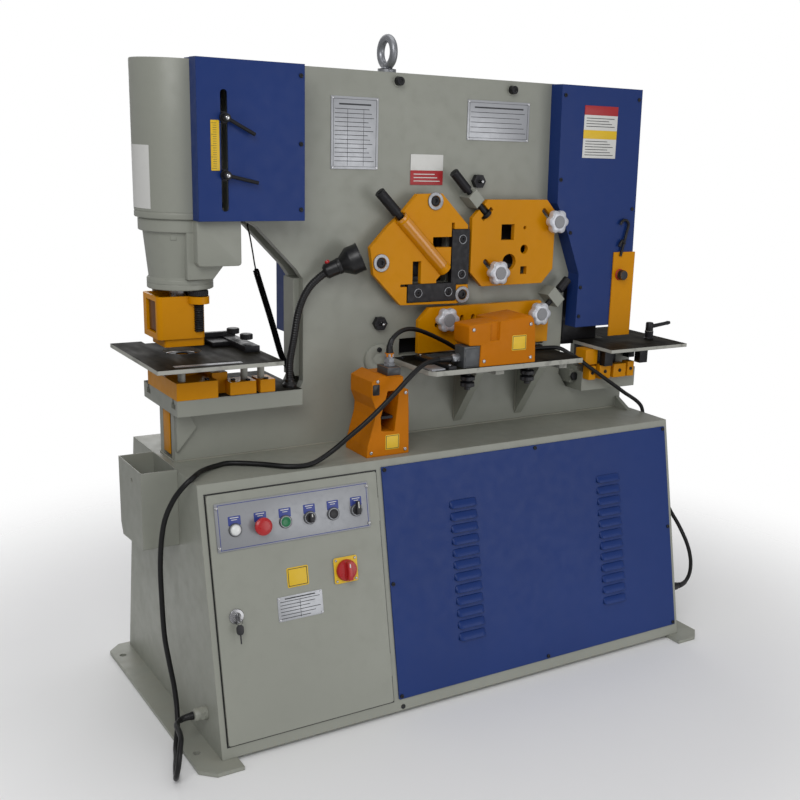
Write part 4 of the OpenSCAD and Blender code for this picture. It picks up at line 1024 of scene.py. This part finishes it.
# pivot cover, frame bolts, grease nipples and lifting eye
pivotPlace = (-154, -36, 893)
frameBolts = [(-109, -44, 1625), (254, -44, 1622), (412, -44, 1625)]
nipples = [(150, -56, 1374), (-154, -56, 993)]
eyeSettings = {"x": -112, "y": 25, "z": 1698, "radius": 35, "wire": 10.5, "steps": 48, "foot": 1646}
pivotProfile = [(42.6, -0.3), (42.6, 0.4), (41.6, 1.0), (18, 1.0), (16.8, 0.5), (15.6, 1.0), (4, 1.0)]
turnedPiece("pivotDisc", pivotProfile, 48, Matrix.Translation(pivotPlace) @ alongY, "frame_paint", "frame",
            "machine_grey")
scatter("pivotScrews", socketHead(7, 5), [(-154, -37, 920), (-154, -37, 866)], "black_steel", "frame")
scatter("frameBoltSockets", socketHead(11.2, 4), frameBolts, "black_steel", "frame")
scatter("frameBoltRings", ringHead(15.5, 11.1, 1.6), [(x, -30, z) for x, y, z in frameBolts],
        "frame_paint", "frame")
build = Build()
build.spin([(5.4, -10, "hex"), (5.4, -4, "hex")], 24, alongY)
build.spin([(4.2, -4), (3.2, 0), (4.2, 2.4), (4.0, 4.6), (2.4, 5.6)], 24, alongY)
scatter("greaseNipples", build, nipples, "chrome", "frame")


def makeLiftingEye(cfg):
    points = []
    for i in range(cfg["steps"] + 1):
        a = 2 * math.pi * i / cfg["steps"]
        points.append(Vector((cfg["x"], cfg["y"] + cfg["radius"] * math.cos(a),
                              cfg["z"] + cfg["radius"] * math.sin(a))))
    build = Build()
    build.tube(points, cfg["wire"], 20, caps=False)
    build.spin([(24.4, 0.2), (24.4, 8), (22.5, 10.2), (15.5, 11.5), (13.4, 14), (13.2, 21)], 40,
               Matrix.Translation((cfg["x"], cfg["y"], cfg["foot"])))
    build.make("liftingEye", "galvanised", "frame", "bright_steel")


makeLiftingEye(eyeSettings)

# bare metal plates with ruled lines only
framePlates = [
    {"name": "plateLeft", "a": (-302, 1400), "b": (-166, 1580), "rows": 13, "split": (0.34, 0.68)},
    {"name": "plateRight", "a": (110, 1484), "b": (318, 1590), "rows": 5, "split": ()},
]


plateFace, plateBottom = -32.4, -31.4
lineFront, lineBack = -32.6, -32.3


def makeNamePlate(cfg):
    a, b = cfg["a"], cfg["b"]
    build = Build()
    plate(build, a, b, plateFace, plateBottom, 3, 0.3)
    build.make(cfg["name"], "label_plate", "frame")
    lines = Build()
    borderStrips(lines, (a[0] + 6, a[1] + 6), (b[0] - 6, b[1] - 6), 0.9, lineFront, lineBack)
    step = (b[1] - a[1] - 40) / cfg["rows"]
    for i in range(cfg["rows"]):
        z = a[1] + 14 + step * (i + 0.5)
        lines.box((a[0] + 10, lineFront, z), (b[0] - 12 - (i * 7) % 23, lineBack, z + 1.5), 0)
    lines.box((a[0] + 22, lineFront, b[1] - 21), (b[0] - 22, lineBack, b[1] - 17), 0)
    for part in cfg["split"]:
        x = a[0] + (b[0] - a[0]) * part
        lines.box((x, lineFront, a[1] + 8), (x + 0.9, lineBack, b[1] - 30), 0)
    lines.make(cfg["name"] + "Lines", "ink", "frame", "black_plastic")
    scatter(cfg["name"] + "Rivets", socketHead(2.8, 1.4),
            [(x, plateFace, z) for x in (a[0] + 4, b[0] - 4) for z in (a[1] + 4, b[1] - 4)], "chrome",
            "frame")


for cfg in framePlates:
    makeNamePlate(cfg)
for name, low, high, tone in (("smallPlateUpper", 1400, 1442, "tag_white"),
                              ("smallPlateLower", 1362, 1400, "tag_red")):
    build = Build()
    plate(build, (-66, low), (36, high), -32.2, plateBottom, 2, 0.2)
    build.make(name, tone, "frame", "label_plate")
boxPiece("smallPlateMarks", [((-56, -32.5, 1371 + i * 9), (26 - i * 8, -32.1, 1373.4 + i * 9), 0)
                             for i in range(3)], "tag_white", "frame", "label_plate")

# left cover: screws, scale and the hubs of the two stops
coverScrews = [(-426, -120, 1618), (-426, -120, 1460), (-426, -120, 1304)]
scaleSettings = {"low": (-654, 1394), "high": (-633, 1508), "marks": 21, "pitch": 5.1, "first": 1399}
stopHubs = [("stopleverupper", "stop_lever_upper", 1514), ("stopleverlower", "stop_lever_lower", 1384)]
scatter("coverScrews", socketHead(5.4, 3.2), coverScrews, "black_steel", "frame")
build = Build()
plate(build, scaleSettings["low"], scaleSettings["high"], -121.4, -119.9, 2, 0.3)
build.make("stopScale", "tag_yellow", "frame", "yellow_paint")
scaleMarks = []
for i in range(scaleSettings["marks"]):
    rise = i * scaleSettings["pitch"]
    scaleMarks.append(((-653 + (4 if i % 5 else 0), -121.7, scaleSettings["first"] + rise),
                       (-640, -121.3, scaleSettings["first"] + 0.8 + rise), 0))
boxPiece("stopScaleMarks", scaleMarks, "ink", "frame", "black_plastic")
for name, body, z in stopHubs:
    hub = Matrix.Translation((-620.5, -134, z)) @ alongY
    turnedPiece(name + "Boss", [(9.4, 0, "rib", 0.5), (9.4, 7, "rib", 0.5), (7.6, 9), (3.4, 9.2)], 24, hub,
                "black_steel", body)
    turnedPiece(name + "Dot", [(4.6, 9), (4.6, 10.4), (3.4, 11.2), (1.2, 11.4)], 20, hub, "chrome", body)

# punch head with its bare plate
shellPlate = {"radius": 104.7, "inner": 104.05, "from": 168, "to": 214, "low": 1300, "high": 1446,
              "steps": 14}
flangeSettings = {"radius": 88, "z": 1277.5, "angles": (196, 228, 300, 60, 120)}
atPunch = Matrix.Translation((punchX, punchY, 0))
headProfile = [(60, 1106), (78.6, 1106), (80, 1107.6), (80, 1118.4), (79.2, 1119.2), (79.2, 1120),
               (80, 1120.8), (80, 1130), (78, 1132.6), (76.4, 1133.4), (75.4, 1135), (85.4, 1238),
               (86.4, 1244), (89, 1246),
               (95, 1246.4), (96.4, 1248), (96.4, 1273.6), (95.2, 1275.2), (94.6, 1277.6), (103, 1278),
               (104, 1279.6), (104, 1290.6), (103, 1291.6), (103, 1293.4), (104, 1294.4), (104, 1466),
               (104, 1638), (102.6, 1640.8), (60, 1641)]


# a point at a radius and an angle about the punch's axis
def roundPunch(radius, degrees):
    a = math.radians(degrees)
    return punchX + radius * math.cos(a), punchY + radius * math.sin(a)


def makeShellPlate(cfg):
    angles = [cfg["from"] + (cfg["to"] - cfg["from"]) * i / cfg["steps"] for i in range(cfg["steps"] + 1)]
    outer = [roundPunch(cfg["radius"], a) for a in angles]
    inner = [roundPunch(cfg["inner"], a) for a in angles]
    build = Build()
    build.prism(outer + list(reversed(inner)), cfg["low"], cfg["high"], 0, "z")
    build.make("shellPlate", "tag_white", "frame", "label_plate")


makeShellPlate(shellPlate)
build = Build()
build.spin(headProfile, 128, atPunch)
build.prism([(-700, 1277), (-573, 1277), (-573, 1172), (-606, 1168), (-634, 1133.5), (-700, 1133.5)],
            -70, 20, 4)  # web
build.prism([(-683, 1176), (-678, 1169), (-668, 1168), (-580, 1168), (-574, 1170), (-572, 1175),
             (-572, 1277.5), (-683, 1277.5)], -96, 8, 2.5)  # guide housing
build.box((-640, -4, 1310), (-580, 54, 1560), 1)
build.box((-733, 87.3, 1005), (-640, 100, 1277), 1.5)
build.box((70, -7, 1228), (86, 7, 1247), 1.5, atPunch @ Matrix.Rotation(math.radians(-118), 4, "Z"))
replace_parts(build.make("headCasting", "frame_paint", "frame"), "punch_head")
scatter("flangeScrews", socketHead(6.5, 5, upright),
        [(*roundPunch(flangeSettings["radius"], a), flangeSettings["z"]) for a in flangeSettings["angles"]],
        "black_steel", "frame")

# stripper's height screw and window
threadSettings = {"x": punchX + 25, "y": punchY - 57, "radius": 12.4, "depth": 2.4, "low": 1004, "high": 1091,
                  "pitch": 5.6}


def makeThread(cfg):
    rows, z = [], cfg["low"]
    while z < cfg["high"]:
        rows += [(cfg["radius"], z), (cfg["radius"], z + cfg["pitch"] * 0.22),
                 (cfg["radius"] - cfg["depth"], z + cfg["pitch"] * 0.58)]
        z += cfg["pitch"]
    rows.append((cfg["radius"] - cfg["depth"], cfg["high"]))
    place = Matrix.Translation((cfg["x"], cfg["y"], 0))
    build = Build()
    build.spin(rows, 32, place)
    build.spin([(22.6, 1091, "rib", 0.9), (24, 1092.4, "rib", 0.9), (24, 1103.4, "rib", 0.9),
                (22.4, 1105, "rib", 0.9), (6, 1105)], 64, place)
    return build.make("stripperThread", "black_steel", "stripper_screw")


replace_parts(makeThread(threadSettings), "stripper_screw")
build = Build()
build.prism([(-8, 1003), (48, 1003), (48, 1075), (-8, 1075)], -757.6, -755.4, 0.4, "x")
build.make("stripperPane", "amber_glass", "stripper", "yellow_paint")
print("punch head dressed")

# punch table's rule, die, pedestal and fence
ruleSettings = {"marks": 32, "pitch": 5.1, "first": -767, "slope": 0.036, "long": 12, "short": 7}
dieScrews = [(-722, -80, 890), (-662, -84, 890), (-590, -70, 880), (-556, -86, 880), (-507, -86, 880)]
fenceKnobs = [(-532, -20), (-532, 70)]
build = Build()
build.prism([(-770, -168), (-604, -174), (-604, -158), (-770, -152)], 945, 945.7, 0.1, "z")
build.make("tableRule", "plate_steel", "frame")
ruleMarks = []
for i in range(ruleSettings["marks"]):
    x = ruleSettings["first"] + i * ruleSettings["pitch"]
    y = -167.4 - (x + 770) * ruleSettings["slope"]
    reach = ruleSettings["short"] if i % 5 else ruleSettings["long"]
    ruleMarks.append(((x, y, 945.6), (x + 0.7, y + reach, 945.9), 0))
boxPiece("tableRuleMarks", ruleMarks, "ink", "frame", "black_plastic")
dieProfile = [(15.2, 934), (33, 934), (33, 936.6), (31.6, 938), (16.4, 938), (15.2, 936.8), (15.2, 934)]
turnedPiece("dieRing", dieProfile, 48, atPunch, "black_steel", "frame", "dark_steel", caps=False)
boxPiece("pedestalSlot", [((-729.5, 6, 684), (-727.2, 58, 800), 0.5)], "yellow_paint", "frame")
scatter("dieScrews", socketHead(6, 4, upright), dieScrews, "black_steel", "frame")
build = Build()
build.box((-655, 104, 945.3), (-512, 120, 971), 1.2)
build.box((-552, -60, 945.3), (-512, 105, 961), 1.5)
build.box((-600, 40, 945.3), (-552, 100, 957), 1.5)
for x, y in fenceKnobs:
    build.spin([(14.5, 972, "rib", 0.7), (16.4, 973.5, "rib", 0.7), (16.4, 984.6, "rib", 0.7),
                (14, 986.2, "rib", 0.7), (4, 986.2)], 48, Matrix.Translation((x, y, 0)))
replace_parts(build.make("fenceBlocks", "black_steel", "fence"), "punch_fence")

# tool plates: ringed bolts, star knobs, handles
plateBolts = [(-10, 1322), (-173, 1161), (86, 1066)]
bladeBolts = [(82, 1219), (82, 1123), (-57, 1076), (40, 1076)]
knobSettings = {"radius": 34.5, "lobe": 0.17, "y": -72.6}
knobPlaces = [("knobSectionA", 388, 1266, "section_knob_a"), ("knobSectionB", 190, 1126, "section_knob_b"),
              ("knobFlatA", 25, 1002, "flat_knob_a"), ("knobFlatB", 343, 1002, "flat_knob_b")]
handleSettings = {"rib": 1.3, "end": 2.4, "endShare": 0.72, "lowShare": 0.955}
tubeSettings = {"start": (-118, -74, 1281), "end": (14.5, -74, 1148.5), "length": 187, "radius": 19.4}
tubeBands = [((-113, -74, 1276), (-108, -74, 1271)), ((22, -74, 1141), (27, -74, 1136))]


def ringedBolts(name, places, ringSize, ringY, headSize, headY):
    scatter(name + "Rings", ringHead(*ringSize), [(x, ringY, z) for x, z in places], "galvanised", "frame")
    scatter(name + "Heads", socketHead(*headSize), [(x, headY, z) for x, z in places], "black_steel", "frame")


def starKnob(name, x, z, body, cfg):
    r, d = cfg["radius"], cfg["lobe"]
    turn = Matrix.Translation((x, cfg["y"], z)) @ alongY
    lobes = [(0.8, 13.4, d), (0.97, 16, d), (1, 20, d), (1, 32, d), (0.97, 35, d), (0.88, 37, d),
             (0.66, 38, d * 0.4)]
    rows = [(15, 0), (17, 12)] + [(r * share, height, "lobe", depth) for share, height, depth in lobes]
    knob = turnedPiece(name, rows + [(18.6, 38.2), (17.6, 37.2)], 72, turn, "silver_knob", body)
    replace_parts(knob, body)
    cap = [(17.4, 37.0), (17.4, 38.6), (16.4, 39.4), (4, 39.6)]
    turnedPiece(name + "Cap", cap, 40, turn, "knob_grey", body, "silver_knob")


# handle with raised ribs and eased ends from a to b
def knurledHandle(build, a, b, radius, rows=13, cfg=handleSettings):
    length = (Vector(b) - Vector(a)).length
    profile = [(radius * cfg["endShare"], 0), (radius, cfg["end"])]
    for i in range(rows):
        z = 4 + (length - 8) * i / (rows - 1)
        profile.append((radius, z, "rib", cfg["rib"]) if i % 2 else (radius * cfg["lowShare"], z))
    profile += [(radius, length - cfg["end"]), (radius * cfg["endShare"], length)]
    build.spin(profile, 40, aimed(a, b))


ringedBolts("plateBolt", plateBolts, (23.5, 14.6, 4.2), -72.2, (14.4, 6.5), -69)
ringedBolts("bladeBolt", bladeBolts, (12.6, 10.6, 1.4), -74, (9.0, 5), -70)
for name, x, z, body in knobPlaces:
    starKnob(name, x, z, body, knobSettings)
build = Build()
knurledHandle(build, (-181, -74, 1344), (-129, -74, 1292), 14.3)
build.spin([(7.2, -0.6, "hex"), (7.2, 3, "hex")], 24, aimed((-183, -74, 1346), (-129, -74, 1292)))
build.make("angleGrip", "black_steel", "angle_handle")
build = Build()
knurledHandle(build, (50, -66, 1398), (95.5, -66, 1352.5), 13)
build.make("sectionGrip", "black_steel", "section_screw")
build = Build()
knurledHandle(build, (433, -66, 1063), (464.6, -66, 1094.6), 13.5, 9)
build.make("clampGrip", "black_steel", "frame")


# sleeve round the clamp's rod, open at its upper end
def makeAngleTube(cfg):
    r, length = cfg["radius"], cfg["length"]
    profile = [(14.8, 9), (14.8, 0.2), (18.9, 0), (r, 0.6), (r, length), (18.6, length + 0.4),
               (10.6, length + 0.4), (10.6, 180)]
    turnedPiece("angleTube", profile, 48, aimed(cfg["start"], cfg["end"]), "gloss_yellow", "frame",
                "yellow_paint", caps=False)


makeAngleTube(tubeSettings)
build = Build()
for a, b in tubeBands:
    build.spin([(19.2, 0), (19.6, 1), (19.6, 5.6), (19.2, 6.6)], 40, aimed(a, b), caps=False)
build.make("tubeBands", "yellow_paint", "frame")
print("tool plates dressed")


# a new build with the cutter's shape taken out
def carve(build, cutter):
    shapes = []
    for part in (build, cutter):
        mesh = bpy.data.meshes.new("shape")
        bmesh.ops.recalc_face_normals(part.bm, faces=part.bm.faces)
        part.bm.to_mesh(mesh)
        part.bm.free()
        shape = bpy.data.objects.new("shape", mesh)
        scene.collection.objects.link(shape)
        shapes.append(shape)
    cut = shapes[0].modifiers.new("cut", "BOOLEAN")
    cut.operation, cut.solver, cut.object = "DIFFERENCE", "EXACT", shapes[1]
    mesh = bpy.data.meshes.new_from_object(shapes[0].evaluated_get(bpy.context.evaluated_depsgraph_get()))
    made = Build()
    made.bm.from_mesh(mesh)
    for shape in shapes:
        old = shape.data
        bpy.data.objects.remove(shape)
        bpy.data.meshes.remove(old)
    bpy.data.meshes.remove(mesh)
    return made


# shear table with its clamp knobs and stop
shearTable = {"top": 898, "under": 884, "brackets": (113, 331), "knobX": (21, 221), "knobY": -215,
              "knobZ": (846, 863)}
build = Build()
build.prism([(-104, -258), (384, -258), (384, -46), (-118, -46), (-118, -238)],
            shearTable["under"], shearTable["top"], 1.2, "z")
for x in shearTable["brackets"]:
    build.box((x - 14, -236, 868), (x + 14, -60, 884.4), 1)
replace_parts(build.make("shearTop", "table_steel", "frame"), "shear_table")
build = Build()
for x in shearTable["knobX"]:
    place = Matrix.Translation((x, shearTable["knobY"], 0))
    for z in shearTable["knobZ"]:
        build.spin([(15, z - 8), (21, z - 5, "lobe", 0.14), (21, z + 4, "lobe", 0.14), (14, z + 7)], 48,
                   place)
    build.spin([(8, 830), (8, 884.5)], 32, place)
build.make("tableKnobs", "black_plastic", "frame", "table_steel")
boxPiece("tableStop", [((-66, -256, 898.1), (-42, -78, 907.5), 1.2)], "black_steel", "frame")
boxPiece("tablePad", [((-116, -252, 898.1), (-74, -196, 903), 0.8)], "plate_steel", "frame")
scatter("tableStopScrews", socketHead(5, 3, upright), [(-54, -240, 907.5), (-54, -90, 907.5)], "bright_steel",
        "frame")

# hood of the pedal on the table: outline, cavity, then the neck at its left
hoodOutline = [(31, 898.05), (216.5, 898.05), (212, 990), (204, 1021), (196, 1029), (93, 1018.5), (93, 968),
               (34, 961)]
cavityOutline = [(38, 906), (240, 906), (240, 985), (205, 985), (195, 1015), (188, 1021), (100, 1011),
                 (100, 966), (40, 955)]
neckOutlines = [([(-7, 1008), (-3, 1012.4), (64, 1018), (64, 956), (-1, 957.6), (-5, 962)], -255.4, -180, 4),
                ([(60, 1017.6), (97, 1018.4), (97, 957), (60, 957)], -248, -182, 2),
                ([(58, 968), (97, 968), (97, 957), (58, 957)], -255, -184, 2.5)]
hood, cavity = Build(), Build()
hood.prism(hoodOutline, -256, -136, 3.5)
cavity.prism(cavityOutline, -250, -142, 0.2)
hood = carve(hood, cavity)
for outline, front, back, ease in neckOutlines:
    hood.prism(outline, front, back, ease)
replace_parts(hood.make("pedalHoodA", "orange_paint", "frame"), "pedal_a")
entryBoxes = [((-18, -253, 898.1), (33, -206, 956.6), 2.5), ((-14, -254.4, 903), (29, -252, 950), 1)]
boxPiece("pedalEntryA", entryBoxes, "machine_grey", "frame", "orange_paint")

# dark plates behind the shear mouths, painted shade for the inside of the machine seen through them, and a
# dark top on the punch bed
# dark plates in the two shear mouths: painted shade
boxPiece("beamFace", [((-116, 8, 880), (12, 12, 1012), 0.5), ((-128, 8, 1084), (66, 12, 1232), 0.5)],
         "black_steel", "beam", "dark_steel")
build = Build()
build.prism([(-744.5, -99.4), (-412.5, -99.4), (-412.5, 154.4), (-744.5, 154.4)], 846.1, 847.0, 0.1, "z")
build.make("bedTop", "table_steel", "frame", "frame_paint")
scatter("gussetScrews", socketHead(7, 5, upright), [(-100, -70, 898), (210, -70, 898), (370, -70, 898)],
        "black_steel", "frame")

# pedals: glands, entry block, badges and screws
badges = [
    {"name": "badgePedalA", "a": (134, 936), "b": (182, 978), "y": -256, "finish": "tag_yellow"},
    {"name": "badgePedalB", "a": (-266, 838), "b": (-246, 866), "y": -208, "finish": "lamp_black"},
    {"name": "signPedalB", "a": (-226, 688), "b": (-184, 728), "y": -208, "finish": "tag_yellow"},
]
pedalScrewsA = [(8, -255.4, 1001), (194, -256, 1006), (198, -256, 914), (44, -256, 914)]
pedalScrewsB = [(-252, -208, 874), (-168, -208, 838), (-268, -208, 684), (-166, -208, 684)]
turnedPiece("pedalGlandA", [(12.6, 0, "hex"), (12.6, 8, "hex"), (11.4, 8), (11.4, 12), (12, 12, "hex"),
                            (12, 18, "hex"), (10, 20.5), (8, 22)], 24,
            aimed((-18, -226, 922), (-44, -226, 922)), "galvanised", "frame", "chrome")
turnedPiece("pedalGlandB", [(16, 0, "hex"), (16, 7, "hex"), (13, 7), (13, 10), (14.6, 10, "hex"),
                            (14.6, 20, "hex"), (12.6, 20), (12.6, 24), (13.4, 24, "hex"), (13.4, 31, "hex"),
                            (10, 34.2)], 24, Matrix.Translation((-196, -168, 905)), "galvanised", "frame",
            "chrome")
boxPiece("pedalEntryB", [((-217, -197, 883), (-177, -139, 905.4), 3)], "machine_grey", "frame")
for cfg in badges:
    build = Build()
    plate(build, cfg["a"], cfg["b"], cfg["y"] - 0.9, cfg["y"] + 0.1, 3, 0.2)
    build.make(cfg["name"], cfg["finish"], "frame", "orange_paint")
build = Build()
for cfg in (badges[0], badges[2]):
    a, b, y = cfg["a"], cfg["b"], cfg["y"]
    borderStrips(build, (a[0] + 2, a[1] + 2), (b[0] - 2, b[1] - 2), 1.4, y - 1.1, y - 0.8)
build.make("badgeEdges", "ink", "frame", "black_plastic")
scatter("pedalScrewsA", socketHead(5, 2.6), pedalScrewsA, "bright_steel", "frame")
scatter("pedalScrewsB", socketHead(4.6, 2.4), pedalScrewsB, "bright_steel", "frame")
print("tables and pedals dressed")

# right guard, its bare plate, its strip and hook
guardScrews = [(406, 1616), (406, 1383), (452, 1232), (503, 1070), (503, 983), (680, 1616), (684, 1300)]
guardPlate = [("guardPlateTop", "tag_red", 1566, 1592), ("guardPlateMid", "tag_white", 1524, 1566),
              ("guardPlateBand", "tag_yellow", 1500, 1524), ("guardPlateLow", "tag_white", 1446, 1500)]
guardLines = [(1530, 1560, 4), (1450, 1496, 6)]  # low, high, rows
hookSettings = {"centre": (653.5, 1252), "radius": 16, "stem": 4.2, "branch": 4.4}
hookStem = [(646, 1160), (652, 1184), (658, 1207), (664, 1231), (669.4, 1250)]
hookBranch = [(659, 1197), (652, 1203), (647.2, 1206.6), (643, 1201), (637.6, 1188.6)]
toStripKnob = Matrix.Translation((650, -84, 1104)) @ alongY
scatter("guardScrews", socketHead(5.4, 3.2), [(x, -80, z) for x, z in guardScrews], "black_steel", "frame")
for name, finishName, low, high in guardPlate:
    boxPiece(name, [((478, -81.2, low), (602, -80.05, high), 0.1)], finishName, "frame", "label_plate")
rowBoxes = []
for low, high, rows in guardLines:
    for i in range(rows):
        z = low + (high - low) * (i + 0.5) / rows
        rowBoxes.append(((486, -81.5, z), (592 - (i * 11) % 31, -81.1, z + 1.8), 0))
boxPiece("guardPlateLines", rowBoxes, "ink", "frame", "black_plastic")
knobProfile = [(11, 0), (11, 5), (14.6, 6, "rib", 0.8), (15.2, 8, "rib", 0.8), (15.2, 20, "rib", 0.8),
               (13.4, 22.6), (4, 23)]
turnedPiece("stripKnob", knobProfile, 48, toStripKnob, "black_plastic", "guard_strip")
turnedPiece("stripKnobRim", [(12, 0.2), (17, 0.2), (17, 2.8), (15.6, 4), (12, 4), (12, 0.2)], 40, toStripKnob,
            "tag_red", "guard_strip", "red_plastic", caps=False)


def makeHook(cfg):
    (cx, cz), r = cfg["centre"], cfg["radius"]
    angles = [math.radians(a) for a in range(12, 173, 16)]
    bow = [(cx + r * math.cos(a), cz + r * math.sin(a)) for a in angles]
    build = Build()
    build.tube([(x, -87.2, z) for x, z in hookStem + bow], cfg["stem"], 12)
    build.tube([(x, -88, z) for x, z in hookBranch], cfg["branch"], 10)
    build.make("stripHook", "black_steel", "guard_strip")


makeHook(hookSettings)

# notcher: blocks, die, legs, punch face, bolt and clamp lever
notchBlocks = [(519, 545, 836), (561, 604, 838), (616, 665, 836), (672, 697, 840)]  # left, right, top
notchScrews = [(532, -128.6, 816), (582, -128.6, 817), (640, -128.6, 816), (684.5, -128.6, 818)]
leverSettings = {"x": 776, "y": -100, "table": 900, "start": 938, "end": (860, 947), "steps": 10}
blockBoxes = [((left - 0.5, -128.6, 794.4), (right + 0.5, -99.6, top + 0.6), 1.6)
              for left, right, top in notchBlocks]
boxPiece("notchBlocks", blockBoxes + [((505, -124, 840.6), (552, -76, 888), 1.6)], "yellow_paint", "frame")
scatter("notchBlockScrews", socketHead(5.4, 3), notchScrews, "black_steel", "frame")
boxPiece("notchDie", [((556, -98, 815.5), (648, -4, 886), 2), ((700, -96, 845), (726, -62, 889), 2)],
         "black_steel", "frame")
boxPiece("notchLegs", [((x - 0.6, -150.6, 838), (x + 30.6, -125.4, 889.6), 0.6) for x in (560, 700)],
         "black_steel", "frame", "table_steel")
boxPiece("notchPunchFace", [((506, -3.3, 886), (639, -1.2, 958), 0.5)], "black_steel", "beam", "dark_steel")
turnedPiece("notchBolt", [(13.6, 0, "hex"), (13.6, 7, "hex"), (12.2, 8.4, "hex"), (8, 8.6)], 24,
            Matrix.Translation((508, -68, 797)) @ alongY, "black_steel", "frame")


def makeLever(cfg):
    x, y = cfg["x"], cfg["y"]
    turnedPiece("leverPost", [(15, 0.2), (15, 4), (13.4, 6), (13.4, 25.2)], 40,
                Matrix.Translation((x, y, cfg["table"])), "black_steel", "frame", "table_steel")
    start, end = Vector((x, y, cfg["start"])), Vector((cfg["end"][0], y, cfg["end"][1]))
    line = [start.lerp(end, i / cfg["steps"]) for i in range(cfg["steps"] + 1)]
    build = Build()
    hub = [(9.6, 920.5), (12, 922), (12, 944), (10.4, 947), (4, 947.4)]
    build.spin(hub, 40, Matrix.Translation((x, y, 5)))
    build.tube(line, [6.4 - 0.1 * i for i in range(9)] + [6.6, 4.0], 16)
    build.make("leverGrip", "black_steel", "notch_lever")


makeLever(leverSettings)

# work lamp: ribbed neck, shade, switch and glass
lampSettings = {"steps": 26, "big": 10.2, "groove": 1.3, "foot": (-431, -60, 846), "head": (-326, -61, 1143),
                "swing": -22, "tilt": 66}
lampNeck = [(-431, -60, 850), (-430, -60, 910), (-419, -60, 970), (-403, -60, 1050), (-372, -60, 1106),
            (-318, -62, 1148)]
shadeProfile = [(13, -8), (19.4, -2), (20, 0), (20, 30), (21.4, 31), (21.4, 38), (20.6, 40), (29, 52),
                (36.4, 63), (37.2, 66), (37.2, 92), (38.0, 93), (38.0, 96), (35, 96), (34, 80), (20, 66)]


def makeLamp(cfg):
    line = smoothRoute(lampNeck, cfg["steps"])
    build = Build()
    build.tube(line, [cfg["big"] - cfg["groove"] * (i % 2) for i in range(len(line))], 18)
    build.spin([(18.4, 0), (18.4, 8), (15.5, 11), (12.4, 14), (12, 22)], 36, Matrix.Translation(cfg["foot"]))
    tilt = (Matrix.Translation(cfg["head"]) @ Matrix.Rotation(math.radians(cfg["swing"]), 4, "Z")
            @ Matrix.Rotation(math.radians(cfg["tilt"]), 4, "Y"))
    build.spin(shadeProfile, 48, tilt)
    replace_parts(build.make("lampArm", "lamp_black", "frame"), "work_lamp")
    toSwitch = tilt @ Matrix.Translation((0, 0, 14)) @ Matrix.Rotation(math.radians(-100), 4, "Y")
    switch = [(6.4, 18), (6.4, 24), (5.4, 26), (2, 26.4)]
    turnedPiece("lampSwitch", switch, 24, toSwitch, "red_plastic", "frame")
    turnedPiece("lampGlass", [(33.4, 78), (33.4, 80), (20, 84), (4, 85.4)], 40, tilt, "white_lens", "frame")


makeLamp(lampSettings)
print("machine dressed")

bpy.context.view_layer.update()
